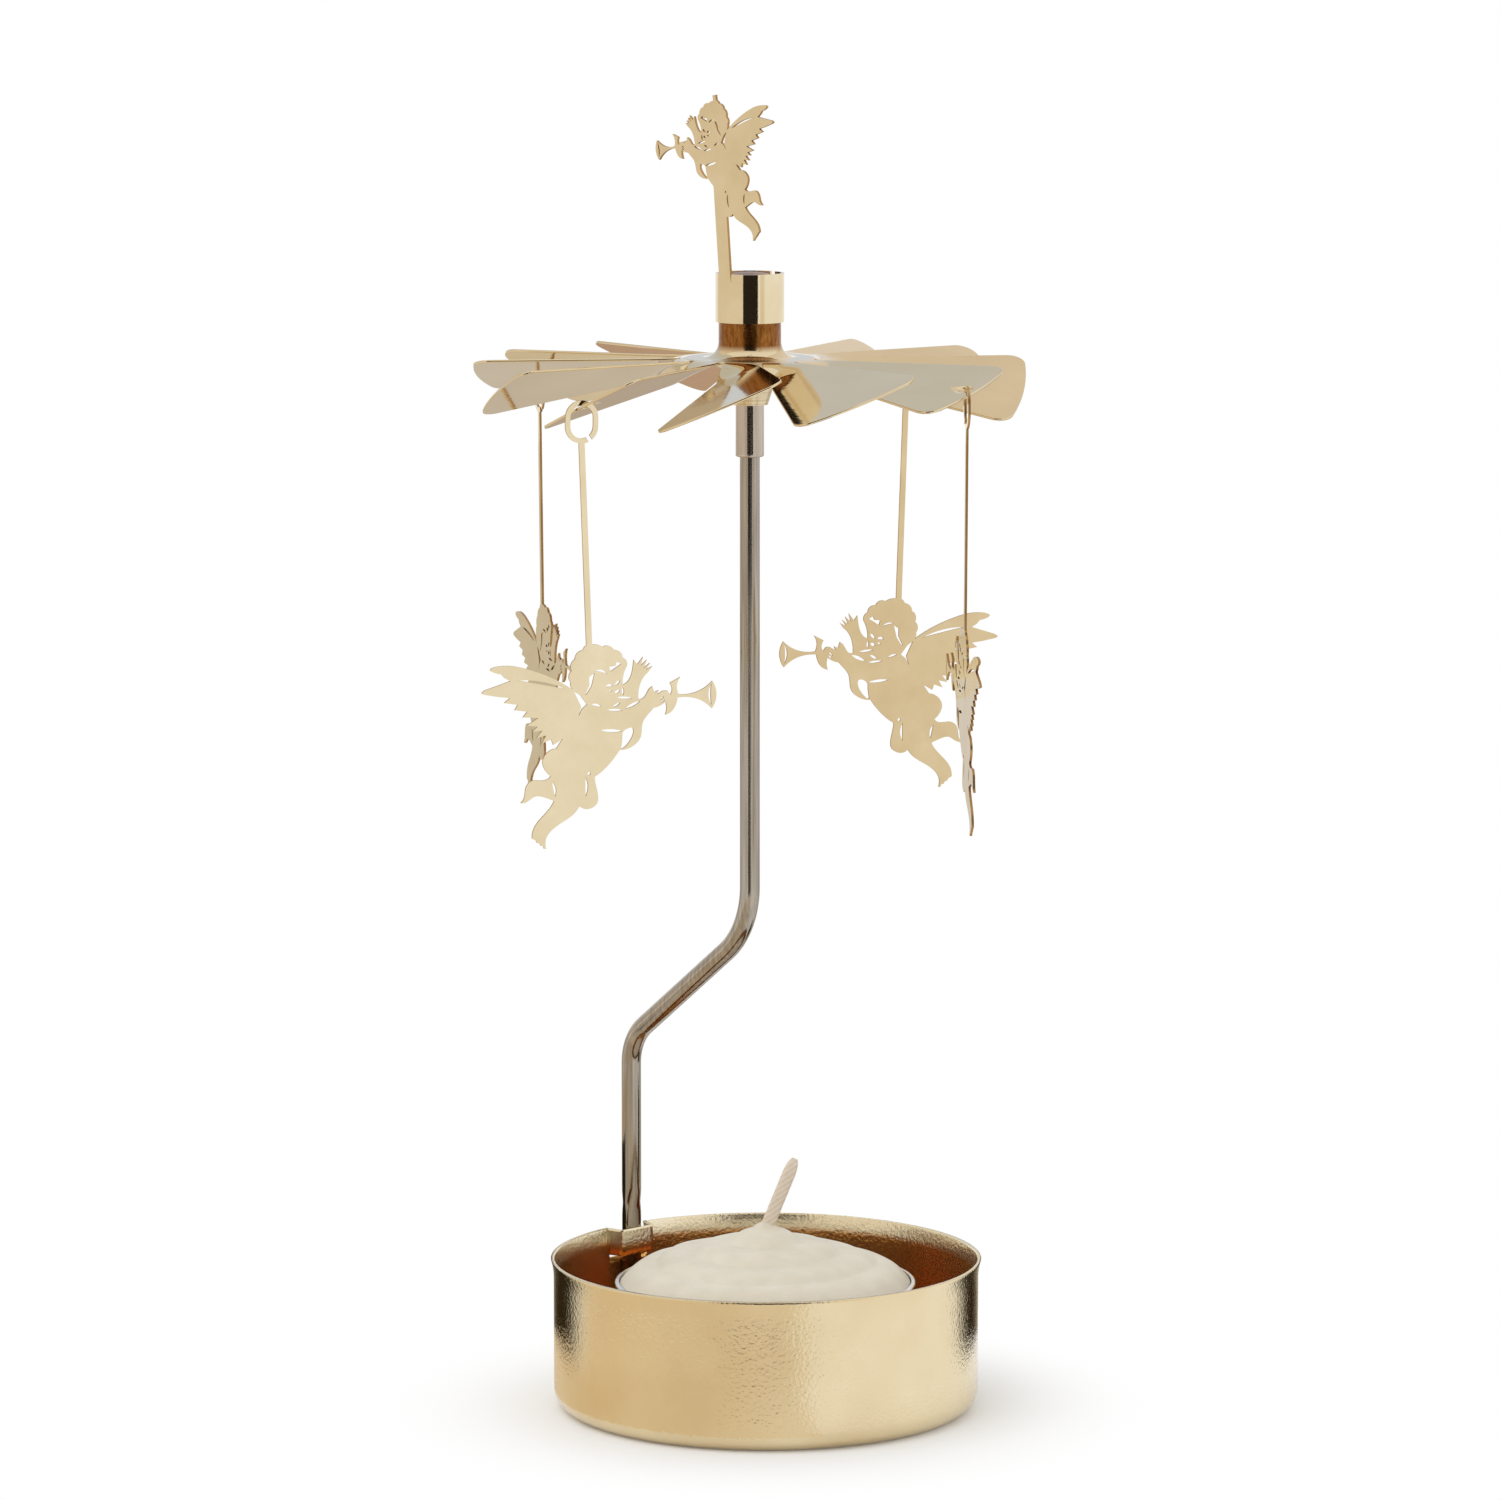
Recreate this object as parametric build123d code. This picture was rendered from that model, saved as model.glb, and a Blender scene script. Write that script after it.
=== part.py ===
from build123d import *
import os
from math import atan2, cos, degrees, hypot, radians, sin, sqrt, tan

# Rotary candle carousel: a tinplate dish holds a tealight and a cranked wire, and the warm air
# turns a fan that carries four hanging cherubs and one standing cherub.
# Frame: millimetres, +Z up, origin at the centre of the dish's underside, +X to the viewer's right.

# Dish, pressed from one sheet
dish_wall_radius = 26.75
dish_height = 19.0
dish_sheet = 0.4
dish_corner = 2.6
lip_height = 2.4
lip_flare = 0.35

# Lanced strap in the dish wall that grips the wire's flat tongue
strap_angle = 132.6
strap_width = 6.4
strap_height = 3.4
strap_slit = 1.1
strap_run = 0.9
strap_grip = 0.5

# Cranked wire
wire_diameter = 2.5
tongue_width = 2.5
tongue_thickness = 1.5
tongue_top = 20.6
tongue_taper = 3.6
tongue_clearance = 0.12
spindle_offset = 3.0
crank_low = 43.6
crank_high = 60.4
low_bend_radius = 6.5
high_bend_radius = 11.0
point_height = 137.2
point_length = 2.2
point_flat = 0.12

# Bearing of the fan
running_clearance = 0.08
fit_clearance = 0.03
tube_diameter = 3.55
tube_reach = 17.2
tube_chamfer = 0.25
seat_cover = 2.6
seat_depth = 0.7
seat_mouth = 2.0
seat_gap = 0.15
bush_nose_diameter = 4.5
bush_nose_drop = 5.7
bush_shoulder_diameter = 6.2
bush_shoulder_drop = 1.9
bush_rise = 6.6

# Fan, stamped from one sheet with a drawn hub
fan_drop = 5.0
fan_sheet = 0.3
fan_radius = 34.3
hub_diameter = 7.75
hub_rise = 10.8
hub_dome = 0.4
hub_corner = 1.1
hub_flare = 2.0
blade_phase = -37.7
blade_root = 8.6
blade_knee = 12.6
blade_slit = 0.7
blade_tilts = (16.5, 25, 25, 29, 25, 25, 28, 17, 23.5, 25, 25, 20)
blade_corner = 2.0
hole_diameter = 1.9
hole_bridge = 0.45
figure_step = 3

# Figures, etched from one sheet
figure_sheet = 0.3
figure_height = 24.8
hook_width = 4.1
hook_height = 5.2
hook_band = 0.62
hook_mouth = 0.5
hook_mouth_angle = -57
hook_play = 0.12
stem_width = 0.72
stem_drop = 27.6
stem_lean = 3.0
heading_turns = (134, 145, 145, 145)

# Standing figure on its clip ring
clip_rise = 4.6
clip_height = 6.05
clip_sheet = 0.35
clip_clearance = 0.05
clip_seam = 0.8
clip_angle = 224
post_width = 2.0
post_lean = 5
top_scale = 0.72
top_lean = -10
top_rise = 21.3
top_shift = 1.85
crown_stub = 0.7

# Tealight
candle_cup_diameter = 37.4
candle_cup_height = 15.6
candle_cup_sheet = 0.25
candle_bead = 0.4
candle_offset = -0.1
wax_edge = 15.0
wax_crown = 22.3
wax_terraces = (0.36, 0.58, 0.77, 1.0)
terrace_swell = 0.72
wick_width = 1.5
wick_thickness = 0.9
wick_length = 9.6
wick_lean = 22
wick_bury = 0.4
wick_bend = 2.0
sustainer_diameter = 12.0
sustainer_sheet = 0.3
sustainer_neck = 3.2
sustainer_neck_height = 4.0


def polar(radius, angle, z=0.0):
    """Point at a radius and an angle in degrees round the Z axis."""
    return Vector(radius * cos(radians(angle)), radius * sin(radians(angle)), z)


spindle = polar(spindle_offset, strap_angle)
dish_bore = dish_wall_radius - dish_sheet
wire_radius = wire_diameter / 2
foot_radius = dish_bore - tongue_clearance - tongue_thickness / 2
tube_radius = tube_diameter / 2
tube_bore = wire_radius + running_clearance
hub_radius = hub_diameter / 2
tube_bottom = point_height - tube_reach
tube_top = point_height + seat_cover
fan_level = point_height - fan_drop
hub_top = fan_level + hub_rise
clip_bottom = fan_level + clip_rise
clip_top = clip_bottom + clip_height


def revolved(*edges, centre=Vector(0, 0, 0)):
    """Solid of revolution of a closed (radius, height) profile round a vertical axis."""
    profile = make_face([Plane.XZ * edge for edge in edges])
    return Pos(centre.X, centre.Y, centre.Z) * revolve(profile, Axis.Z)


def lathe(*points, centre=Vector(0, 0, 0)):
    """Solid of revolution of a straight-sided (radius, height) outline."""
    return revolved(Polyline(*points, close=True), centre=centre)


def make_dish():
    """Cup with a rolled floor corner and a flared lip, and the lanced strap in its wall."""
    wall = dish_wall_radius
    lip_start = dish_height - lip_height
    lip_arc = (lip_height**2 + lip_flare**2) / (2 * lip_flare)
    lip_inside = wall + lip_arc - sqrt((lip_arc + dish_sheet) ** 2 - lip_height**2)
    bend = wall - dish_corner
    cup = revolved(
        Polyline((0, dish_sheet), (0, 0), (bend, 0)),
        TangentArc((bend, 0), (wall, dish_corner), tangent=(1, 0)),
        Line((wall, dish_corner), (wall, lip_start)),
        TangentArc((wall, lip_start), (wall + lip_flare, dish_height), tangent=(0, 1)),
        Line((wall + lip_flare, dish_height), (lip_inside, dish_height)),
        TangentArc((dish_bore, lip_start), (lip_inside, dish_height), tangent=(0, 1)),
        Line((dish_bore, lip_start), (dish_bore, dish_corner)),
        TangentArc((bend, dish_sheet), (dish_bore, dish_corner), tangent=(1, 0)),
        Line((bend, dish_sheet), (0, dish_sheet)),
    )
    # Plan outline of the strap: x points out of the dish, y runs along the wall
    half = strap_width / 2
    strap_low = dish_height - strap_height
    strap_face = foot_radius - tongue_thickness / 2 - tongue_clearance
    root_out = sqrt(dish_wall_radius**2 - (half + strap_grip) ** 2)
    root_in = root_out - dish_sheet
    right = [
        (root_out, half + strap_grip),
        (root_out, half),
        (strap_face, half - strap_run),
    ]
    right_inside = [
        (strap_face - dish_sheet, half - strap_run + dish_sheet / 2),
        (root_in, half + dish_sheet / 2),
        (root_in, half + strap_grip),
    ]
    outside = right + [(x, -y) for x, y in reversed(right)]
    inside = [(x, -y) for x, y in reversed(right_inside)] + right_inside
    strap = extrude(make_face(Polyline(*outside, *inside, close=True)), strap_height)
    window_depth = strap_height + strap_slit
    window = Pos(dish_wall_radius, 0, dish_height - window_depth / 2 + lip_flare) * Box(
        strap_width, strap_width, window_depth + 2 * lip_flare
    )
    turn = Rot(0, 0, strap_angle)
    return cup - turn * window + turn * Pos(0, 0, strap_low) * strap


def make_wire():
    """Cranked wire: flat tongue behind the strap, two bends and a point under the seat."""
    foot = polar(foot_radius, strap_angle)
    taper_top = tongue_top + tongue_taper
    cone_base = point_height - point_length
    path = FilletPolyline(
        (foot.X, foot.Y, taper_top),
        (foot.X, foot.Y, crank_low),
        (spindle.X, spindle.Y, crank_high),
        (spindle.X, spindle.Y, cone_base),
        radius=(low_bend_radius, high_bend_radius),
    )
    rod = sweep(Plane((foot.X, foot.Y, taper_top)) * Circle(wire_radius), path=path)
    point = Pos(spindle.X, spindle.Y, cone_base + point_length / 2) * Cone(
        wire_radius, point_flat, point_length
    )
    tongue_frame = Pos(foot.X, foot.Y, 0) * Rot(0, 0, strap_angle)
    section = Rectangle(tongue_thickness, tongue_width)
    tongue = tongue_frame * Pos(0, 0, dish_corner) * extrude(section, tongue_top - dish_corner)
    taper = tongue_frame * loft(
        [Pos(0, 0, tongue_top) * section, Pos(0, 0, taper_top) * Circle(wire_radius)]
    )
    return rod + point + tongue + taper


def make_tube():
    """Bearing tube that turns round the wire."""
    return lathe(
        (tube_bore, tube_bottom),
        (tube_radius - tube_chamfer, tube_bottom),
        (tube_radius, tube_bottom + tube_chamfer),
        (tube_radius, tube_top),
        (tube_bore, tube_top),
        centre=spindle,
    )


def make_seat():
    """Plug with a conical recess that rides on the wire's point."""
    radius = tube_bore - fit_clearance
    seat_bottom = point_height + seat_gap - seat_depth
    return lathe(
        (0, seat_bottom + seat_depth),
        (seat_mouth / 2, seat_bottom),
        (radius, seat_bottom),
        (radius, tube_top),
        (0, tube_top),
        centre=spindle,
    )


def make_bush():
    """Stepped bush between the drawn hub and the bearing tube."""
    bore = tube_radius + fit_clearance
    body = hub_radius - fan_sheet - fit_clearance
    nose = fan_level - bush_nose_drop
    shoulder = fan_level - bush_shoulder_drop
    ledge = fan_level + hub_flare
    top = fan_level + bush_rise
    return lathe(
        (bore, nose),
        (bush_nose_diameter / 2, nose),
        (bush_shoulder_diameter / 2, shoulder),
        (bush_shoulder_diameter / 2, ledge),
        (body, ledge),
        (body, top),
        (bore, top),
        centre=spindle,
    )


def hub_shell():
    """Drawn cup with a domed top and a flare that runs out into the flat disc."""
    wall = hub_radius
    bore = hub_radius - fan_sheet
    top = hub_top
    crown = hub_corner + hub_dome
    upper = fan_level + fan_sheet / 2
    lower = fan_level - fan_sheet / 2
    flare_top = upper + hub_flare
    inner_corner = hub_corner - fan_sheet
    return revolved(
        TangentArc((0, top), (wall - hub_corner, top - hub_dome), tangent=(1, 0)),
        TangentArc((wall, top - crown), (wall - hub_corner, top - hub_dome), tangent=(0, 1)),
        Line((wall, top - crown), (wall, flare_top)),
        TangentArc((wall, flare_top), (wall + hub_flare, upper), tangent=(0, -1)),
        Polyline((wall + hub_flare, upper), (blade_root, upper), (blade_root, lower)),
        Line((blade_root, lower), (wall + hub_flare, lower)),
        TangentArc((bore, flare_top), (wall + hub_flare, lower), tangent=(0, -1)),
        Line((bore, flare_top), (bore, top - crown)),
        TangentArc(
            (bore, top - crown), (bore - inner_corner, top - hub_dome - fan_sheet), tangent=(0, 1)
        ),
        TangentArc(
            (0, top - fan_sheet), (bore - inner_corner, top - hub_dome - fan_sheet), tangent=(1, 0)
        ),
        Line((0, top - fan_sheet), (0, top)),
    )


blade_count = len(blade_tilts)
half_pitch = 180 / blade_count
edge_offset = blade_slit / 2 / cos(radians(half_pitch))


def edge_y(x):
    """Half width of the flat blade at a radius x along its middle line."""
    return x * tan(radians(half_pitch)) - edge_offset


def bent(x, y, tilt):
    """Point of the flat blade after the blade is bent down by a tilt about its upper edge."""
    turn = radians(half_pitch)
    along = x * cos(turn) + (y + edge_offset) * sin(turn)
    across = -x * sin(turn) + (y + edge_offset) * cos(turn)
    flat = across * cos(radians(tilt))
    return Vector(
        along * cos(turn) - flat * sin(turn),
        along * sin(turn) + flat * cos(turn) - edge_offset,
        across * sin(radians(tilt)),
    )


def make_blade(tilt, holed):
    """Blade in the disc's own plane: flat leaf bent about its upper edge, on a twisted root."""
    half = fan_sheet / 2
    beyond = fan_radius + blade_corner
    sector = Polyline(
        (blade_knee, -edge_y(blade_knee)),
        (beyond, -edge_y(beyond)),
        (beyond, edge_y(beyond)),
        (blade_knee, edge_y(blade_knee)),
        close=True,
    )
    leaf = make_face(sector) & Circle(fan_radius)
    leaf = fillet(leaf.vertices().sort_by(Axis.X)[-2:], blade_corner)
    if holed:
        leaf -= Pos(hole_centre, 0) * Circle(hole_diameter / 2)
    plate = extrude(leaf, half, both=True)
    upper_edge = Axis((0, -edge_offset, 0), (cos(radians(half_pitch)), sin(radians(half_pitch)), 0))
    plate = plate.rotate(upper_edge, tilt)
    return plate + make_root(tilt)


def make_root(tilt):
    """Twisted strip from the flat disc to the bent leaf."""
    half = fan_sheet / 2
    lift = Vector(0, 0, half)
    start_x = blade_root + fan_sheet
    neck = edge_y(start_x)
    flat = [Vector(start_x, -neck, 0), Vector(start_x, neck, 0)]
    start = [flat[0] - lift, flat[1] - lift, flat[1] + lift, flat[0] + lift]
    turn = radians(half_pitch)
    lean = radians(tilt)
    normal = Vector(sin(turn) * sin(lean), -cos(turn) * sin(lean), cos(lean)) * half
    knee = [bent(blade_knee, side * edge_y(blade_knee), tilt) for side in (-1, 1)]
    stop = [knee[0] - normal, knee[1] - normal, knee[1] + normal, knee[0] + normal]
    faces = [make_face(Polyline(*corners, close=True)) for corners in (start, stop)]
    tab_length = start_x - hub_radius - hub_flare
    tab = Pos(start_x - tab_length / 2, 0, 0) * Box(tab_length, 2 * neck, fan_sheet)
    return tab + loft(faces, ruled=True)


hole_centre = fan_radius - hole_bridge - hole_diameter / 2


def blade_angle(index):
    return blade_phase + index * 360 / blade_count


def make_fan():
    """Hub and blades as one sheet, with a hook hole in every third blade."""
    blades = []
    for index, tilt in enumerate(blade_tilts):
        leaf = make_blade(tilt, index % figure_step == 0)
        turn = Rot(0, 0, blade_angle(index))
        blades.append(Pos(spindle.X, spindle.Y, fan_level) * turn * leaf)
    hub = Pos(spindle.X, spindle.Y, 0) * hub_shell()
    return hub.fuse(*blades)


# Cherub drawing: x towards the trumpet, y up, origin on the crown of the head
def slit(start, stop, width, bow=0.0):
    """Lens-shaped cut between two points, bowed to the left of its direction."""
    x, y = start
    dx, dy = stop[0] - x, stop[1] - y
    length = hypot(dx, dy)
    middle = (x + dx / 2, y + dy / 2)
    side = (-dy / length, dx / length)
    sides = []
    for reach in (bow + width / 2, bow - width / 2):
        crown = (middle[0] + side[0] * reach, middle[1] + side[1] * reach)
        sides.append(ThreePointArc(start, crown, stop))
    return make_face(sides)


def blob(*points):
    return make_face(Spline(*points, periodic=True))


def wing_edge():
    """Edge of the raised wing: two long primaries above a comb of short feathers."""
    return [
        Spline((-2.1, -5.4), (-4.4, -4.1), (-7.2, -3.0), (-10.2, -2.35), (-12.0, -2.5)),
        Spline((-12.0, -2.5), (-12.45, -2.85), (-12.0, -3.15), (-11.1, -3.35)),
        Polyline((-11.1, -3.35), (-10.7, -3.8), (-10.0, -4.2)),
        Spline((-10.0, -4.2), (-11.6, -4.75), (-13.1, -5.25)),
        Spline((-13.1, -5.25), (-13.5, -5.6), (-12.9, -5.85)),
        Polyline((-12.9, -5.85), (-11.4, -6.1), (-10.0, -6.25), (-10.7, -6.85), (-9.0, -7.1)),
        Polyline((-9.0, -7.1), (-9.4, -7.75), (-7.8, -7.95), (-8.35, -8.65), (-6.4, -8.75)),
        Polyline((-6.4, -8.75), (-7.85, -9.65), (-6.5, -9.8), (-7.1, -10.4), (-5.9, -10.3)),
        Polyline((-5.9, -10.3), (-6.6, -11.2), (-5.4, -10.9), (-5.9, -11.85), (-4.75, -11.4)),
        Polyline((-4.75, -11.4), (-4.5, -12.1), (-3.3, -11.35), (-4.1, -12.55)),
    ]


def leg_edge():
    """Edge from the back round the lifted and the hanging leg to the belly."""
    return [
        Spline((-4.1, -12.55), (-5.2, -13.0), (-5.8, -14.1), (-5.5, -15.1), (-4.75, -15.9)),
        Spline((-4.75, -15.9), (-5.7, -16.4), (-7.3, -16.5), (-7.85, -17.2), (-8.0, -18.2), (-8.5, -19.1)),
        Spline((-8.5, -19.1), (-7.9, -19.05), (-6.7, -18.35), (-5.2, -18.6), (-4.3, -18.95)),
        Spline((-4.3, -18.95), (-5.3, -20.4), (-6.6, -21.9), (-7.0, -23.5)),
        Polyline((-7.0, -23.5), (-6.5, -23.75), (-6.4, -24.0), (-6.0, -24.15), (-5.9, -24.4)),
        Polyline((-5.9, -24.4), (-5.55, -24.45), (-5.5, -24.75), (-5.2, -24.8)),
        Spline((-5.2, -24.8), (-5.1, -23.2), (-3.9, -22.0), (-2.3, -21.0), (-1.1, -19.65)),
        Spline((-1.1, -19.65), (0.5, -19.9), (1.1, -19.4), (1.2, -18.2), (0.8, -16.1)),
        Spline((0.8, -16.1), (2.4, -14.8), (3.4, -13.6), (3.9, -12.9)),
    ]


def trumpet_edge():
    """Edge of the lower arm, the trumpet with its pennant, and the hand that holds it."""
    return [
        Spline((3.9, -12.9), (5.3, -12.6), (6.5, -11.4), (6.75, -9.6), (7.6, -8.4), (8.1, -7.85)),
        Spline((8.1, -7.85), (9.0, -7.55), (9.6, -7.1)),
        Spline((9.6, -7.1), (9.75, -7.9), (9.6, -8.7)),
        Spline((9.6, -8.7), (10.4, -8.3), (10.95, -7.4), (11.1, -6.65)),
        Spline((11.1, -6.65), (13.0, -6.7), (14.4, -7.2), (15.5, -8.05)),
        ThreePointArc((15.5, -8.05), (16.05, -6.35), (15.5, -4.7)),
        Spline((15.5, -4.7), (14.4, -5.6), (13.0, -6.15), (11.25, -6.25)),
        Spline((11.25, -6.25), (11.0, -5.2), (11.4, -4.15)),
        Line((11.4, -4.15), (10.1, -4.85)),
        Spline((10.1, -4.85), (10.4, -5.6), (10.2, -6.3)),
        Polyline((10.2, -6.3), (9.8, -5.75), (9.3, -5.75), (8.55, -6.2), (8.7, -5.7), (8.15, -5.95)),
        Polyline((8.15, -5.95), (7.9, -5.2), (7.5, -5.5), (7.1, -6.2)),
        Spline((7.1, -6.2), (6.7, -6.65), (6.15, -6.75)),
    ]


def head_edge():
    """Edge of the lifted arm with its spread fingers, then the curls of the head to the nape."""
    return [
        Spline((6.15, -6.75), (6.15, -5.8), (6.6, -4.3), (7.3, -3.5)),
        Polyline((7.3, -3.5), (7.85, -2.75), (7.05, -3.15), (7.55, -2.35), (6.75, -2.95)),
        Polyline((6.75, -2.95), (7.15, -1.95), (6.4, -2.65), (6.65, -1.6), (5.95, -2.5), (5.5, -1.9)),
        Spline((5.5, -1.9), (5.35, -3.2), (4.9, -4.4), (4.15, -4.95)),
        Spline((4.15, -4.95), (4.15, -4.2), (4.5, -2.9)),
        ThreePointArc((4.5, -2.9), (4.65, -2.2), (4.1, -1.6)),
        ThreePointArc((4.1, -1.6), (3.8, -0.95), (3.0, -0.7)),
        ThreePointArc((3.0, -0.7), (2.5, -0.2), (1.6, -0.25)),
        ThreePointArc((1.6, -0.25), (0.8, 0.05), (0, 0)),
        ThreePointArc((0, 0), (-0.6, -0.12), (-0.9, -0.6)),
        ThreePointArc((-0.9, -0.6), (-1.6, -0.95), (-1.9, -1.7)),
        ThreePointArc((-1.9, -1.7), (-2.4, -2.35), (-2.3, -3.1)),
        ThreePointArc((-2.3, -3.1), (-2.65, -3.75), (-2.4, -4.5)),
        ThreePointArc((-2.4, -4.5), (-2.4, -4.95), (-2.1, -5.4)),
    ]


def etched_lines():
    """Through-etched lines of the wing, the face, the arms and the legs."""
    nape = [(-2.0, -5.6), (-1.2, -6.1), (-0.3, -7.25), (-0.9, -7.75), (-1.4, -8.75), (-1.05, -7.5)]
    curl = [(0.6, -3.4), (-0.1, -3.9), (-0.05, -4.9), (-0.6, -6.1), (-0.3, -5.9), (0.25, -5.0)]
    fringe = [(2.4, -2.7), (3.2, -2.6), (3.35, -2.1), (3.95, -2.4), (3.3, -2.8), (2.6, -3.3)]
    elbow = [(4.7, -10.35), (5.5, -10.3), (5.45, -11.3), (4.1, -12.7), (4.2, -11.5)]
    return [
        slit((-9.0, -4.15), (-3.2, -5.25), 0.35, 0.2),
        make_face(Polyline(*nape, close=True)),
        make_face(Polyline(*curl, close=True)),
        make_face(Polyline(*fringe, close=True)),
        slit((0.65, -3.2), (2.15, -3.55), 0.25, 0.2),
        slit((2.05, -5.2), (2.85, -5.15), 0.35, 0.2),
        slit((2.4, -5.75), (2.85, -5.55), 0.2),
        slit((3.15, -5.0), (3.8, -4.35), 0.35),
        slit((3.15, -5.9), (3.8, -5.6), 0.4),
        slit((4.15, -5.2), (4.2, -6.25), 0.3),
        slit((3.4, -6.45), (5.4, -6.6), 0.3),
        slit((2.9, -7.65), (3.9, -7.1), 0.3),
        slit((0.2, -7.25), (1.5, -7.6), 0.3, 0.1),
        slit((2.2, -7.95), (4.2, -8.05), 0.3),
        slit((4.5, -7.85), (6.4, -6.95), 0.4),
        slit((8.9, -6.9), (9.4, -6.45), 0.18),
        slit((9.0, -7.25), (9.5, -6.85), 0.18),
        slit((15.4, -5.0), (15.45, -7.65), 0.3, -0.25),
        slit((1.4, -10.45), (4.2, -10.6), 0.4),
        slit((-0.4, -16.1), (-0.35, -18.5), 0.35, 0.15),
        slit((-4.6, -16.6), (-4.2, -18.4), 0.35, 0.15),
        blob(*elbow),
        Pos(0.05, -15.7) * Circle(0.2),
    ]


def cherub():
    """Cherub blowing a trumpet, as one flat sheet, scaled from its drawing to the figure's height."""
    outline = make_face([*wing_edge(), *leg_edge(), *trumpet_edge(), *head_edge()])
    # The drawing is 24.8 units from the crown to the toes
    return scale(outline - etched_lines(), figure_height / 24.8)


def hook_and_stem():
    """Open oval hook round the origin of its upper arc, on a flat stem that leans to the crown."""
    outer = hook_width / 2
    straight = hook_height - hook_width
    oval = SlotCenterToCenter(straight, hook_width, rotation=90)
    eye = SlotCenterToCenter(straight, hook_width - 2 * hook_band, rotation=90)
    centre = Pos(0, -straight / 2)
    mouth = Pos(0, -straight) * Rot(0, 0, hook_mouth_angle) * Pos(outer, 0) * Rectangle(outer, hook_mouth)
    stem_top = -straight - outer + hook_band
    stem = Rectangle(stem_width, stem_drop + stem_top + hook_band, align=(Align.CENTER, Align.MAX))
    return centre * oval - centre * eye - mouth + Pos(0, stem_top) * Rot(0, 0, stem_lean) * stem


def hanging_sheet():
    """Flat outline of a hanging cherub, balanced so that it hangs under the hook's centre."""
    shift = stem_drop * tan(radians(stem_lean))
    outline = hook_and_stem() + Pos(shift, -stem_drop) * cherub()
    middle = outline.center()
    return outline.rotate(Axis.Z, -degrees(atan2(middle.X, -middle.Y)))


def hook_pivot(place):
    """Centre of the hook's upper arc when it hangs on the bridge outside the hole."""
    heading = radians(heading_turns[place])
    tilt = blade_tilts[place * figure_step]
    to_hole = hole_diameter / 2
    to_tip = (fan_radius - hole_centre) / -cos(heading)
    reach = (to_hole + to_tip) / 2
    half_bridge = (to_tip - to_hole) / 2
    on_leaf = bent(hole_centre - reach * cos(heading), -reach * sin(heading), tilt)
    slope = tan(radians(tilt)) * cos(heading - radians(90 + half_pitch))
    lean = hypot(1, slope)
    eye = hook_width / 2 - hook_band - hook_play
    drop = sqrt(eye**2 - (half_bridge * lean) ** 2) - fan_sheet / 2 * lean
    shift = drop * slope / lean
    local = on_leaf + Vector(shift * cos(heading), shift * sin(heading), -drop / lean)
    turned = local.rotate(Axis.Z, blade_angle(place * figure_step))
    return Vector(spindle.X, spindle.Y, fan_level) + turned


def figure_heading(place):
    """Direction in which a hanging cherub looks, in degrees round the Z axis."""
    return blade_angle(place * figure_step) + heading_turns[place]


def hung_figure(outline, place):
    """Hanging cherub stood upright on its heading at one hook hole."""
    pivot = hook_pivot(place)
    heading = figure_heading(place)
    plane = Plane(
        origin=pivot,
        x_dir=polar(1, heading),
        z_dir=polar(1, heading - 90),
    )
    return extrude(plane * outline, figure_sheet / 2, both=True)


def make_top_figure():
    """Standing cherub on its post, in one sheet with the split ring that grips the hub."""
    inner = hub_radius + clip_clearance
    middle = inner + clip_sheet / 2
    ring = Pos(0, 0, clip_bottom) * extrude(
        Circle(inner + clip_sheet) - Circle(inner), clip_top - clip_bottom
    )
    seam = Rot(0, 0, clip_angle + 180) * Pos(middle, 0, (clip_bottom + clip_top) / 2) * Box(
        4 * clip_sheet, clip_seam, 2 * (clip_top - clip_bottom)
    )
    head = clip_top + top_rise
    chest_drop = figure_height / 2 * top_scale
    post_bottom = clip_top - 3 * clip_sheet
    post = Pos(0, post_bottom) * Rot(0, 0, -post_lean) * Rectangle(
        post_width, head - chest_drop - post_bottom, align=(Align.CENTER, Align.MIN)
    )
    figure = scale(cherub(), top_scale) + Rectangle(stem_width * top_scale, 2 * crown_stub)
    figure = Pos(top_shift, head) * Rot(0, 0, top_lean) * figure
    plane = Plane(
        origin=polar(middle, clip_angle),
        x_dir=polar(1, clip_angle - 90),
        z_dir=polar(1, clip_angle - 180),
    )
    sheet = extrude(plane * (post + figure), clip_sheet / 2, both=True)
    return Pos(spindle.X, spindle.Y, 0) * (ring - seam + sheet)


candle = Vector(candle_offset, 0, dish_sheet)
cup_radius = candle_cup_diameter / 2
cup_bore = cup_radius - candle_cup_sheet


def make_candle_cup():
    """Thin cup of the tealight with a bead rolled outwards on its edge."""
    height = candle_cup_height
    neck = height - 2 * candle_bead
    return revolved(
        Polyline((0, candle_cup_sheet), (0, 0), (cup_radius, 0), (cup_radius, neck)),
        ThreePointArc(
            (cup_radius, neck), (cup_radius + candle_bead, height - candle_bead), (cup_radius, height)
        ),
        Polyline((cup_radius, height), (cup_bore, height), (cup_bore, candle_cup_sheet)),
        Line((cup_bore, candle_cup_sheet), (0, candle_cup_sheet)),
        centre=candle,
    )


def make_wax():
    """Wax fill with a crown of shallow terraces, cleared for the wick and its holder."""
    edge = cup_bore - fit_clearance
    base = candle_cup_sheet
    rise = wax_crown - wax_edge
    step = edge / len(wax_terraces)
    outline = [Polyline((0, wax_crown), (0, base), (edge, base), (edge, wax_edge))]
    outer, low = edge, wax_edge
    for share in wax_terraces:
        inner, high = outer - step, wax_edge + rise * share
        swell = ((outer + inner) / 2, low + (high - low) * terrace_swell)
        outline.append(Spline((outer, low), swell, (inner, high)))
        outer, low = inner, high
    wax = revolved(*outline, centre=candle)
    return wax - make_sustainer(fit_clearance) - make_wick(fit_clearance)


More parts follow.
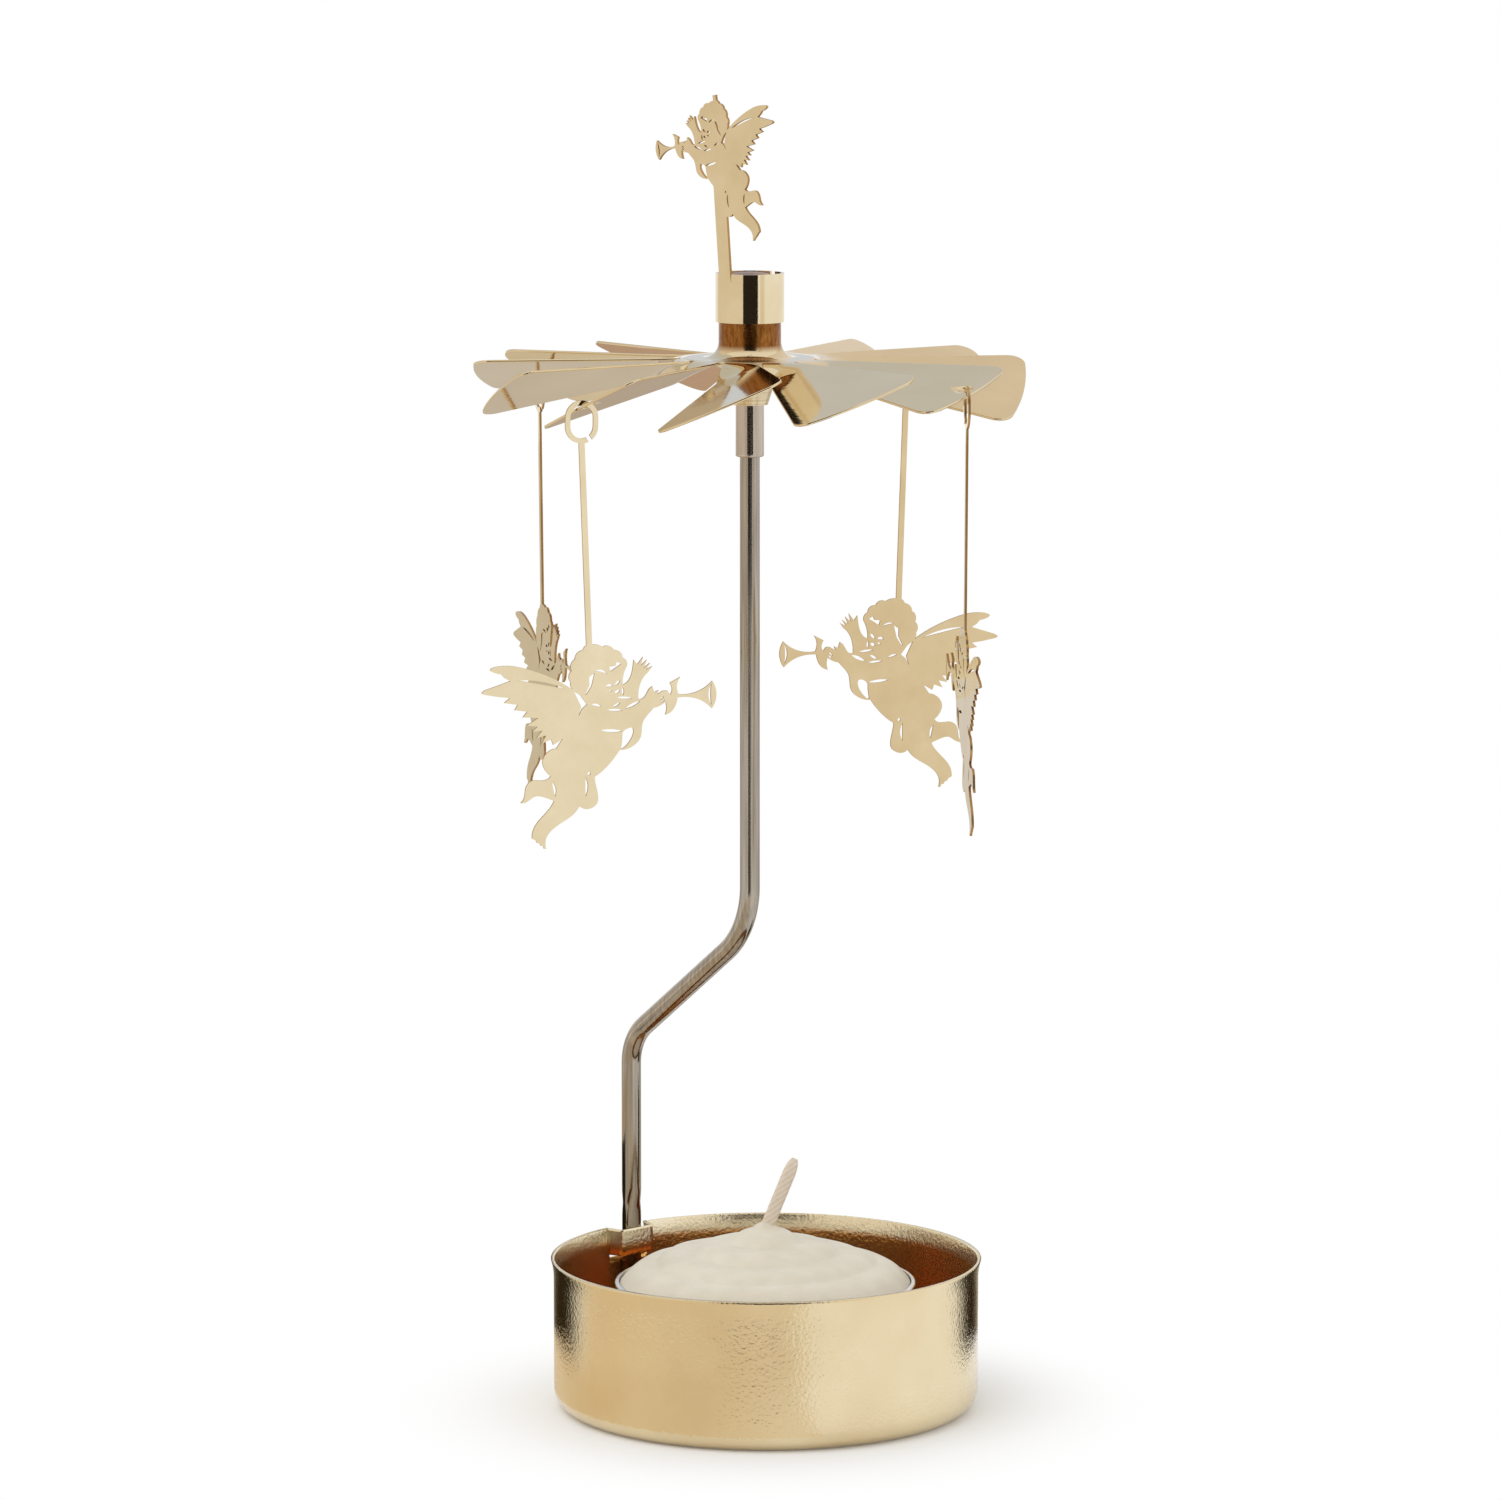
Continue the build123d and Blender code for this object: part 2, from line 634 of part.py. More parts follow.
def make_sustainer(growth=0.0):
    """Pressed disc with a short neck that holds the wick on the cup's floor."""
    floor = candle_cup_sheet
    disc = sustainer_diameter / 2 + growth
    neck = sustainer_neck / 2 + growth
    bore = 0.0 if growth else sustainer_neck / 2 - sustainer_sheet
    return lathe(
        (bore, floor),
        (disc, floor),
        (disc, floor + sustainer_sheet + growth),
        (neck, floor + sustainer_sheet + growth),
        (neck, floor + sustainer_neck_height + growth),
        (bore, floor + sustainer_neck_height + growth),
        centre=candle,
    )


def make_wick(growth=0.0):
    """Flat braided wick: upright in the holder's neck, leaning above the wax."""
    section = Rectangle(wick_width + 2 * growth, wick_thickness + 2 * growth)
    foot = Vector(candle.X, candle.Y, candle.Z + candle_cup_sheet)
    bend = Vector(candle.X, candle.Y, candle.Z + wax_crown - wick_bury)
    lean = Vector(sin(radians(wick_lean)), 0, cos(radians(wick_lean)))
    path = FilletPolyline(foot, bend, bend + lean * (wick_length + wick_bury), radius=wick_bend)
    return sweep(Plane(foot) * section, path=path)


def export(shape, name):
    export_step(shape, os.path.join("parts", name + ".step"))


def main():
    os.makedirs("parts", exist_ok=True)
    export(make_dish(), "dish")
    export(make_wire(), "cranked_wire")
    export(make_tube(), "bearing_tube")
    export(make_seat(), "pivot_seat")
    export(make_bush(), "hub_bush")
    export(make_fan(), "fan")
    outline = hanging_sheet()
    for place in range(len(heading_turns)):
        export(hung_figure(outline, place), "cherub_%d" % (place + 1))
        figures = (place + 1, *hook_pivot(place), figure_heading(place))
        print("cherub_%d pivot %.3f %.3f %.3f heading %.1f" % figures)
    export(make_top_figure(), "top_cherub")
    export(make_candle_cup(), "tealight_cup")
    export(make_wax(), "tealight_wax")
    export(make_sustainer(), "wick_holder")
    export(make_wick(), "wick")


main()
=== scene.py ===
import math
import bmesh
import bpy
import numpy as np
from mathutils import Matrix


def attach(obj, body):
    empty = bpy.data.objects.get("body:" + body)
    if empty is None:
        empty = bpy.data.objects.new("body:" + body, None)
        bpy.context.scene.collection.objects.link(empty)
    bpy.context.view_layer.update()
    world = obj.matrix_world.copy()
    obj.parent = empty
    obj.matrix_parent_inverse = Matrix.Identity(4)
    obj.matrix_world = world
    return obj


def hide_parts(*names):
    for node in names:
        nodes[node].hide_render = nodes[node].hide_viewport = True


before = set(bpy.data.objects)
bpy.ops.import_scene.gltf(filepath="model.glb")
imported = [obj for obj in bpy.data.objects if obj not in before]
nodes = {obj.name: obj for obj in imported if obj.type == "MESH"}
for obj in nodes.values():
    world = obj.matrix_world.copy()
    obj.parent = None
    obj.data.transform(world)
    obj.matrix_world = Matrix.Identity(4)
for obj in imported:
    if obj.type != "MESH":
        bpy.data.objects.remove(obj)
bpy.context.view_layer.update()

# Candle carousel: the CAD frame dressed for a white table-top studio. Lengths are millimetres until
# they go into a mesh, which is in metres. Angles are degrees.
mm = 0.001


def hexToLinear(code):
    # sRGB hex to linear colour, per channel: c/12.92 below 0.04045, else ((c+0.055)/1.055)^2.4
    c = np.array([int(code[i:i + 2], 16) for i in (0, 2, 4)]) / 255
    low = c / 12.92
    high = ((c + 0.055) / 1.055) ** 2.4
    return (*np.where(c <= 0.04045, low, high), 1.0)


def smoothStep(x, low, high):
    # 0 below low, 1 above high, 3t^2 - 2t^3 between
    t = np.clip((np.asarray(x, float) - low) / (high - low), 0, 1)
    return t * t * (3 - 2 * t)


def arc(centre, radius, start, stop, count):
    # points on a circle between two angles
    a = np.radians(np.linspace(start, stop, count))
    return np.stack([centre[0] + radius * np.cos(a), centre[1] + radius * np.sin(a)], -1)


def turned(x, y, angle):
    # turned about the vertical: x cos a - y sin a, x sin a + y cos a
    a = math.radians(angle)
    return x * math.cos(a) - y * math.sin(a), x * math.sin(a) + y * math.cos(a)


strapAngle = 132.6  # direction of the strap that holds the wire, from the dish's centre
axisOffset = 3.0  # the fan's axis stands this far from the dish's centre, on the strap's side
spindle = np.array(turned(axisOffset, 0.0, strapAngle))

# mesh helpers


def gridFaces(rows, columns, wrapRows=False, wrapColumns=False, keep=None):
    # quads of a grid, row by row; keep is a mask of the cells that stay
    r = np.arange(rows if wrapRows else rows - 1)
    c = np.arange(columns if wrapColumns else columns - 1)
    r, c = np.meshgrid(r, c, indexing="ij")
    r2, c2 = (r + 1) % rows, (c + 1) % columns
    quads = np.stack([r * columns + c, r * columns + c2, r2 * columns + c2, r2 * columns + c], -1)
    if keep is not None:
        quads = quads[keep]
    return quads.reshape(-1, 4)


def lathe(outline, centre, count, closed=True):
    # outline (radius, height) carried round a vertical axis: x = r cos a, y = r sin a
    outline = np.asarray(outline, float)
    a = np.linspace(0, 2 * np.pi, count, endpoint=False)[:, None]
    r, z = outline[:, 0][None], outline[:, 1][None]
    points = np.stack([centre[0] + r * np.cos(a), centre[1] + r * np.sin(a), z + 0 * a], -1)
    # the outline runs upwards on its outside, so row = angle and column = outline turn outwards
    quads = gridFaces(count, len(outline), wrapRows=True, wrapColumns=closed)[:, ::-1]
    return points, quads


def roundedSection(count, power):
    # x = sign(cos s) |cos s|^power, y = sign(sin s) |sin s|^power: 1 is round, smaller is squarer
    s = np.linspace(0, 2 * np.pi, count, endpoint=False)[None]
    x, y = np.cos(s), np.sin(s)
    return np.sign(x) * np.abs(x) ** power, np.sign(y) * np.abs(y) ** power


def sweep(line, across, along, heading):
    # A section carried along a line in an upright plane: across lies in that plane and turns with the
    # heading, along is square to it. Both ends close on their middle point. Gives u, v, z.
    u, z = line[:, :1] + across * np.cos(heading), line[:, 1:] + across * np.sin(heading)
    ends = np.ones((1, u.shape[1]))
    u = np.concatenate([line[0, 0] * ends, u, line[-1, 0] * ends])
    v = np.concatenate([0 * ends, along, 0 * ends])
    z = np.concatenate([line[0, 1] * ends, z, line[-1, 1] * ends])
    return u, v, z


def addPiece(name, mesh, body, node):
    # object at the origin that stands for a CAD node and rides on its body
    piece = bpy.data.objects.new(name, mesh)
    bpy.context.scene.collection.objects.link(piece)
    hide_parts(node)
    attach(piece, body)
    return piece


def makePiece(name, parts, body, node, material, sharp=40, recalc=False):
    # parts is a list of (points, quads); doubles are merged, which closes seams and poles
    points, quads, start = [], [], 0
    for p, q in parts:
        p = np.asarray(p, float).reshape(-1, 3)
        points.append(p)
        quads.append(q + start)
        start += len(p)
    points, quads = np.concatenate(points) * mm, np.concatenate(quads)
    mesh = bpy.data.meshes.new(name)
    mesh.from_pydata(points, [], quads.tolist())
    bm = bmesh.new()
    bm.from_mesh(mesh)
    bmesh.ops.remove_doubles(bm, verts=bm.verts, dist=1e-7)
    bmesh.ops.dissolve_degenerate(bm, edges=bm.edges, dist=1e-8)
    if recalc:
        bmesh.ops.recalc_face_normals(bm, faces=bm.faces)
    bm.to_mesh(mesh)
    bm.free()
    mesh.polygons.foreach_set("use_smooth", np.ones(len(mesh.polygons), bool))
    mesh.set_sharp_from_angle(angle=math.radians(sharp))
    mesh.materials.append(material)
    return addPiece(name, mesh, body, node)


def giveThickness(piece, sheet, offset):
    # wall of a sheet piece, inwards at offset -1 or half to each side at 0
    skin = piece.modifiers.new("sheet", "SOLIDIFY")
    skin.thickness = sheet * mm
    skin.offset = offset
    skin.use_even_offset = True
    return skin


# material helpers


def setSockets(tree, node, values=None, links=None):
    # fixed values go on the sockets themselves, and outputs of other nodes are linked to them
    for key, value in (values or {}).items():
        node.inputs[key].default_value = value
    for key, source in (links or {}).items():
        tree.links.new(source, node.inputs[key])


def addNode(tree, kind, settings=None, values=None, links=None):
    # one node: its settings, its fixed socket values, and the sockets that feed it
    node = tree.nodes.new(kind)
    for key, value in (settings or {}).items():
        setattr(node, key, value)
    setSockets(tree, node, values, links)
    return node


def startMaterial(name):
    # one shader on the output, and the place on the piece that its patterns read
    material = bpy.data.materials.new(name)
    material.use_nodes = True
    tree = material.node_tree
    tree.nodes.clear()
    place = addNode(tree, "ShaderNodeTexCoord").outputs["Object"]
    shader = addNode(tree, "ShaderNodeBsdfPrincipled")
    addNode(tree, "ShaderNodeOutputMaterial", links={"Surface": shader.outputs["BSDF"]})
    return material, tree, shader, place


def showShader(tree, socket):
    # the material's output takes this shader instead
    output = next(node for node in tree.nodes if node.type == "OUTPUT_MATERIAL")
    setSockets(tree, output, links={"Surface": socket})


def setRamp(node, stops):
    # stops are positions with hex colours, in order; gives the ramp's colour
    ramp = node.color_ramp
    while len(ramp.elements) < len(stops):
        ramp.elements.new(0.5)
    while len(ramp.elements) > len(stops):
        ramp.elements.remove(ramp.elements[-1])
    for element, (position, code) in zip(ramp.elements, stops):
        element.position = position
        element.color = hexToLinear(code)
    return node.outputs["Color"]


def streaks(tree, place, wide, tall, detail, roughness=0.5):
    # noise drawn out upwards or sideways: its spots are about wide across and tall upwards
    size = (1 / (wide * mm), 1 / (wide * mm), 1 / (tall * mm))
    drawn = addNode(tree, "ShaderNodeMapping", values={"Scale": size}, links={"Vector": place})
    noise = addNode(tree, "ShaderNodeTexNoise", values={"Scale": 1.0, "Detail": detail, "Roughness": roughness},
                    links={"Vector": drawn.outputs["Vector"]})
    return noise.outputs["Fac"]


# finishes: sizes of their patterns in mm, depth of the relief in mm, strength of the bump

tinplateGrain = {"cloud": 14.0, "grit": 1.2, "zoneFade": 0.7, "grainWide": 0.4, "grainTall": 1.4}


def goldTinplate(name, f, g=tinplateGrain):
    # Lacquered tinplate, pressed from sheet: pale gold mirror with an orange-peel waviness, a little
    # cloudy where the lacquer is thicker. A zone in height, near the spindle or all round, takes painted light:
    # painted shade on the fan's hub, painted reflection at the dish's inner lip.
    material, tree, shader, place = startMaterial(name)
    cloud = addNode(tree, "ShaderNodeTexNoise", values={"Scale": 1 / (g["cloud"] * mm), "Detail": 4.0},
                    links={"Vector": place})
    colour = setRamp(addNode(tree, "ShaderNodeValToRGB", links={"Fac": cloud.outputs["Fac"]}),
                     [(0.3, f["dark"]), (0.7, f["pale"])])
    grit = addNode(tree, "ShaderNodeTexNoise",
                   values={"Scale": 1 / (g["grit"] * mm), "Detail": 6.0, "Roughness": 0.65},
                   links={"Vector": place})
    dull = addNode(tree, "ShaderNodeMapRange",
                   values={"From Min": 0.3, "From Max": 0.75, "To Min": f["smooth"], "To Max": f["rough"]},
                   links={"Value": grit.outputs["Fac"]}).outputs["Result"]
    # the zone's colours are painted light: painted shade on the fan's hub under the clip ring, painted reflection at
    # the dish's inner lip
    if "zone" in f:
        z = f["zone"]
        flat = addNode(tree, "ShaderNodeVectorMath", {"operation": "MULTIPLY"}, {1: (1, 1, 0)}, {0: place})
        away = addNode(tree, "ShaderNodeVectorMath", {"operation": "DISTANCE"}, {1: (*spindle * mm, 0)},
                       {0: flat.outputs["Vector"]})
        near = addNode(tree, "ShaderNodeMapRange",
                       values={"From Min": (z["reach"] - g["zoneFade"]) * mm, "From Max": z["reach"] * mm,
                               "To Min": 1.0, "To Max": 0.0},
                       links={"Value": away.outputs["Value"]})
        height = addNode(tree, "ShaderNodeSeparateXYZ", links={"Vector": place})
        above = addNode(tree, "ShaderNodeMapRange",
                        values={"From Min": z["low"] * mm, "From Max": z["high"] * mm},
                        links={"Value": height.outputs["Z"]})
        zone = addNode(tree, "ShaderNodeMath", {"operation": "MULTIPLY"},
                       links={0: near.outputs["Result"], 1: above.outputs["Result"]}).outputs["Value"]
        grain = streaks(tree, place, g["grainWide"], g["grainTall"], 5.0, 0.7)
        paintedLightColour = setRamp(addNode(tree, "ShaderNodeValToRGB", links={"Fac": grain}),
                             [(0.35, z["dark"]), (0.65, z["pale"])])
        mix = addNode(tree, "ShaderNodeMix", {"data_type": "RGBA"}, links={0: zone, 6: colour, 7: paintedLightColour})
        duller = addNode(tree, "ShaderNodeMath", {"operation": "MULTIPLY_ADD"}, {1: z["duller"]},
                         {0: zone, 2: dull})
        colour, dull = mix.outputs[2], duller.outputs["Value"]
    peel = addNode(tree, "ShaderNodeTexNoise", values={"Scale": 1 / (f["peel"] * mm), "Detail": 3.0},
                   links={"Vector": place})
    bump = addNode(tree, "ShaderNodeBump", values={"Strength": 1.0, "Distance": f["peelDepth"] * mm},
                   links={"Height": peel.outputs["Fac"]})
    setSockets(tree, shader, {"Metallic": f["metal"]},
               {"Base Color": colour, "Roughness": dull, "Normal": bump.outputs["Normal"]})
    return material


def etchedBrass(name, f):
    # Thin brass sheet, etched through and lacquered: soft pale gold sheen with faint rolling lines
    # and a little tarnish in clouds. The cut edges are left matt and brown by the acid.
    material, tree, shader, place = startMaterial(name)
    cloud = addNode(tree, "ShaderNodeTexNoise",
                    values={"Scale": 1 / (f["cloud"] * mm), "Detail": 5.0, "Roughness": 0.6},
                    links={"Vector": place})
    colour = setRamp(addNode(tree, "ShaderNodeValToRGB", links={"Fac": cloud.outputs["Fac"]}),
                     [(0.3, f["dark"]), (0.55, f["middle"]), (0.75, f["pale"])])
    lines = streaks(tree, place, f["lineGap"], f["lineLong"], 3.0)
    dull = addNode(tree, "ShaderNodeMapRange",
                   values={"From Min": 0.3, "From Max": 0.7, "To Min": f["smooth"], "To Max": f["rough"]},
                   links={"Value": lines})
    bump = addNode(tree, "ShaderNodeBump", values={"Strength": f["bump"], "Distance": f["depth"] * mm},
                   links={"Height": lines})
    setSockets(tree, shader, {"Metallic": 1.0},
               {"Base Color": colour, "Roughness": dull.outputs["Result"], "Normal": bump.outputs["Normal"]})
    return material


def turnedBrass(name, f):
    # Turned brass rod, nickel flashed: pale straw with fine rings left by the tool.
    material, tree, shader, place = startMaterial(name)
    rings = streaks(tree, place, f["ringLong"], f["ringGap"], 3.0)
    colour = setRamp(addNode(tree, "ShaderNodeValToRGB", links={"Fac": rings}),
                     [(0.35, f["dark"]), (0.65, f["pale"])])
    bump = addNode(tree, "ShaderNodeBump", values={"Strength": f["bump"], "Distance": f["depth"] * mm},
                   links={"Height": rings})
    setSockets(tree, shader, {"Metallic": 1.0, "Roughness": f["rough"]},
               {"Base Color": colour, "Normal": bump.outputs["Normal"]})
    return material


def nickelSteel(name, f):
    # Drawn steel wire or tube, nickel plated: grey with a warm cast and faint drawing lines along it.
    material, tree, shader, place = startMaterial(name)
    lines = streaks(tree, place, f["lineGap"], f["lineLong"], 4.0)
    colour = setRamp(addNode(tree, "ShaderNodeValToRGB", links={"Fac": lines}),
                     [(0.35, f["dark"]), (0.65, f["pale"])])
    dull = addNode(tree, "ShaderNodeMapRange",
                   values={"From Min": 0.3, "From Max": 0.7, "To Min": f["rough"] * 0.8, "To Max": f["rough"] * 1.3},
                   links={"Value": lines})
    bump = addNode(tree, "ShaderNodeBump", values={"Strength": f["bump"], "Distance": f["depth"] * mm},
                   links={"Height": lines})
    setSockets(tree, shader, {"Metallic": 1.0},
               {"Base Color": colour, "Roughness": dull.outputs["Result"], "Normal": bump.outputs["Normal"]})
    return material


def candleAluminium(name, f):
    # Deep-drawn aluminium foil cup: bright grey with drawing marks up its wall.
    material, tree, shader, place = startMaterial(name)
    marks = streaks(tree, place, f["markGap"], f["markLong"], 4.0)
    colour = setRamp(addNode(tree, "ShaderNodeValToRGB", links={"Fac": marks}),
                     [(0.3, f["dark"]), (0.7, f["pale"])])
    bump = addNode(tree, "ShaderNodeBump", values={"Strength": f["bump"], "Distance": f["depth"] * mm},
                   links={"Height": marks})
    setSockets(tree, shader, {"Metallic": 1.0, "Roughness": f["rough"]},
               {"Base Color": colour, "Normal": bump.outputs["Normal"]})
    return material


def paraffinWax(name, f):
    # Pressed paraffin granules, melted once: ivory, light glowing inside it, waxy soft gloss,
    # small pits and a faint crystalline mottle.
    material, tree, shader, place = startMaterial(name)
    mottle = addNode(tree, "ShaderNodeTexNoise",
                     values={"Scale": 1 / (f["mottle"] * mm), "Detail": 5.0, "Roughness": 0.6},
                     links={"Vector": place}).outputs["Fac"]
    colour = setRamp(addNode(tree, "ShaderNodeValToRGB", links={"Fac": mottle}),
                     [(0.3, f["dark"]), (0.7, f["pale"])])
    pits = addNode(tree, "ShaderNodeTexVoronoi", values={"Scale": 1 / (f["pit"] * mm)}, links={"Vector": place})
    ripple = addNode(tree, "ShaderNodeTexNoise", values={"Scale": 1 / (f["ripple"] * mm), "Detail": 4.0},
                     links={"Vector": place})
    relief = addNode(tree, "ShaderNodeMath", {"operation": "MULTIPLY_ADD"}, {1: f["pitShare"]},
                     {0: pits.outputs["Distance"], 2: ripple.outputs["Fac"]})
    bump = addNode(tree, "ShaderNodeBump", values={"Strength": f["bump"], "Distance": f["depth"] * mm},
                   links={"Height": relief.outputs["Value"]})
    dull = addNode(tree, "ShaderNodeMapRange", values={"To Min": f["smooth"], "To Max": f["rough"]},
                   links={"Value": mottle})
    setSockets(tree, shader,
               {"IOR": f["ior"], "Subsurface Weight": f["glow"], "Subsurface Radius": (1.0, 0.8, 0.5),
                "Subsurface Scale": f["glowDepth"] * mm},
               {"Base Color": colour, "Roughness": dull.outputs["Result"], "Normal": bump.outputs["Normal"]})
    return material


def cottonWick(name, f):
    # Braided cotton dipped in wax: off-white plait, with painted shade turning the hollows between the strands grey.
    material, tree, shader, place = startMaterial(name)
    slant = addNode(tree, "ShaderNodeMapping", values={"Rotation": (0.0, f["slant"], 0.0)},
                    links={"Vector": place})
    # strands cross at a slant; a wave of scale 1 repeats every 0.314 of its space
    plait = addNode(tree, "ShaderNodeTexWave", {"wave_type": "BANDS", "bands_direction": "Z"},
                    {"Scale": 0.314 / (f["strand"] * mm), "Distortion": 1.5, "Detail": 2.0},
                    {"Vector": slant.outputs["Vector"]}).outputs["Fac"]
    # the grey end of the ramp is painted shade in the plait's hollows, where the bump sinks
    colour = setRamp(addNode(tree, "ShaderNodeValToRGB", links={"Fac": plait}),
                     [(0.1, f["dark"]), (0.6, f["pale"])])
    bump = addNode(tree, "ShaderNodeBump", values={"Strength": f["bump"], "Distance": f["depth"] * mm},
                   links={"Height": plait})
    setSockets(tree, shader, {"Roughness": f["rough"]}, {"Base Color": colour, "Normal": bump.outputs["Normal"]})
    return material


# fan: flat bright sheet; its deep-drawn hub wall, in the recess under the clip ring, is painted brown and grainy as
# painted shade
tinplate = goldTinplate("goldTinplate", {
    "dark": "dac6a0", "pale": "e4d2ae", "smooth": 0.04, "rough": 0.09, "metal": 1.0, "peel": 1.1, "peelDepth": 0.008,
    # the zone is painted shade: brown on the hub wall between the disc and the clip ring
    "zone": {"low": 133.2, "high": 134.0, "reach": 5.0, "dark": "6e3e18", "pale": "a67038", "duller": 0.2}})
# dish outside: softer, more orange peel
dishTinplate = goldTinplate("goldTinplateDish", {
    "dark": "dfcba3", "pale": "eadab6", "smooth": 0.08, "rough": 0.13, "metal": 1.0, "peel": 0.42, "peelDepth": 0.07})
# dish inside: painted reflection, orange for the gold walls mirroring one another, running out to pale gold at the
# lip
tinplateInsidePaintedReflection = goldTinplate("goldTinplateInsidePaintedReflection", {
    "dark": "e29d50", "pale": "ecb36c", "smooth": 0.12, "rough": 0.2, "metal": 0.88, "peel": 0.42, "peelDepth": 0.07,
    # the zone at the lip is painted reflection: a paler gold for the bright room that the flared lip mirrors
    "zone": {"low": 16.7, "high": 17.5, "reach": 60.0, "dark": "ecdebd", "pale": "f3e8cc", "duller": 0.0}})
# figures: rolling lines 0.35 mm apart, upright
rolled = {"cloud": 6.0, "lineGap": 0.35, "lineLong": 9.0, "bump": 0.12, "depth": 0.004}
brassSheet = etchedBrass("etchedBrass", {
    **rolled, "dark": "dfcda8", "middle": "e5d5b2", "pale": "ebddbd", "smooth": 0.05, "rough": 0.09})
brassEdge = etchedBrass("etchedBrassEdge", {
    **rolled, "dark": "a87f4a", "middle": "ba925a", "pale": "c8a46c", "smooth": 0.35, "rough": 0.5})
# bush: tool rings 0.25 mm apart along its axis
brassRod = turnedBrass("turnedBrass", {
    "ringGap": 0.25, "ringLong": 30.0, "dark": "c9b48e", "pale": "e0d0b2", "rough": 0.2, "bump": 0.4, "depth": 0.02})
# wire, tube and seat: drawing lines 0.4 mm apart, upright
drawn = {"lineGap": 0.4, "lineLong": 12.0, "bump": 0.3, "depth": 0.01}
wireNickel = nickelSteel("nickelWire", {**drawn, "dark": "988f83", "pale": "b2a99c", "rough": 0.12})
tubeNickel = nickelSteel("nickelTube", {**drawn, "dark": "b1a497", "pale": "c8bbad", "rough": 0.12})
seatSteel = nickelSteel("bearingSteel", {**drawn, "dark": "8f9092", "pale": "b0b1b3", "rough": 0.2})
foilCup = candleAluminium("candleAluminium", {
    "markGap": 0.7, "markLong": 8.0, "dark": "d4d4d6", "pale": "eeeeee", "rough": 0.22, "bump": 0.3, "depth": 0.02})
wax = paraffinWax("paraffinWax", {
    "mottle": 3.5, "pit": 1.1, "ripple": 0.6, "pitShare": 0.35, "dark": "dad2bf", "pale": "e4ddcd", "smooth": 0.38,
    "rough": 0.55, "bump": 0.2, "depth": 0.05, "ior": 1.44, "glow": 0.2, "glowDepth": 1.5})
wickCotton = cottonWick("cottonWick", {
    "strand": 0.55, "slant": 0.6, "dark": "d8c8b4", "pale": "e2d4c2", "rough": 0.7, "bump": 0.3, "depth": 0.06})
print("finishes ready:", len(bpy.data.materials))

# dish

dish = {"wall": 26.75, "height": 19.0, "sheet": 0.4, "corner": 2.6, "lipHeight": 2.4, "lipFlare": 0.35,
        "strapHalf": 3.2, "strapLow": 15.6, "slitLow": 15.2, "strapRun": 0.9, "strapFace": 24.61,
        "fineSpan": 9.5, "fineSteps": 41, "coarseSteps": 290}  # the grid is finer within fineSpan of the strap


def makeDish(d):
    # Outside of the dish as r(z) round the axis: flat floor, quarter-circle corner, straight wall, and a
    # lip r = wall + R - sqrt(R^2 - h^2). In the strap the wall moves in to the plane x = strapFace.
    lipStart = d["height"] - d["lipHeight"]
    bend = d["wall"] - d["corner"]
    lipArc = (d["lipHeight"] ** 2 + d["lipFlare"] ** 2) / (2 * d["lipFlare"])
    lipZ = np.linspace(lipStart, d["height"], 9)
    floor = np.stack([np.linspace(0, bend, 12), np.zeros(12)], -1)
    corner = arc((bend, d["corner"]), d["corner"], -90, 0, 14)[1:]
    wallZ = np.concatenate([np.linspace(d["corner"], d["slitLow"], 14)[1:], [d["strapLow"]]])
    wall = np.stack([np.full(len(wallZ), d["wall"]), wallZ], -1)
    lip = np.stack([d["wall"] + lipArc - np.sqrt(lipArc ** 2 - (lipZ - lipStart) ** 2), lipZ], -1)
    outline = np.concatenate([floor, corner, wall, lip])
    edge = math.degrees(math.asin(d["strapHalf"] / d["wall"]))
    span = d["fineSpan"]
    near = np.concatenate([np.linspace(-span, -edge, 7), np.linspace(-edge, edge, d["fineSteps"])[1:],
                           np.linspace(edge, span, 7)[1:]])
    far = np.linspace(span, 360 - span, d["coarseSteps"])[1:-1]
    a = np.radians(np.concatenate([near, far]))[:, None]
    r, z = outline[:, 0][None] + 0 * a, outline[:, 1][None] + 0 * a
    x, y = r * np.cos(a), r * np.sin(a)
    inStrap = (z >= d["strapLow"] - 1e-6) & (np.abs(y) <= d["strapHalf"] + 1e-6) & (x > 0)
    pushed = smoothStep(d["strapHalf"] - np.abs(y), 0, d["strapRun"])
    x = np.where(inStrap, x + (d["strapFace"] - x) * pushed, x)
    points = np.stack([*turned(x, y, strapAngle), z], -1)
    # the slit under the strap: cells between its two heights, from side to side of the strap
    midZ = (outline[1:, 1] + outline[:-1, 1]) / 2
    midA = np.degrees(np.append((a[1:, 0] + a[:-1, 0]) / 2, math.pi))
    slit = ((np.abs(midA) < edge)[:, None]) & ((midZ > d["slitLow"]) & (midZ < d["strapLow"]))[None]
    quads = gridFaces(len(a), len(outline), wrapRows=True, keep=~slit)[:, ::-1]
    piece = makePiece("tinDish", [(points, quads)], "stand", "dish", dishTinplate, sharp=50)
    piece.data.materials.append(tinplateInsidePaintedReflection)
    skin = giveThickness(piece, d["sheet"], -1)
    skin.material_offset = 1  # the inner wall takes the second finish


makeDish(dish)
print("dish made")

# cranked wire

wire = {"radius": 1.25, "tongueWide": 2.5, "tongueThick": 1.5, "tongueTop": 20.6, "taper": 3.6, "foot": 25.48,
        "bottom": 2.6, "lowBend": 43.6, "highBend": 60.4, "lowRadius": 6.5, "highRadius": 11.0, "coneBase": 135.0,
        "point": 137.2, "tip": 0.12, "hold": 0.2, "lowSteps": 22, "highSteps": 26, "around": 48}


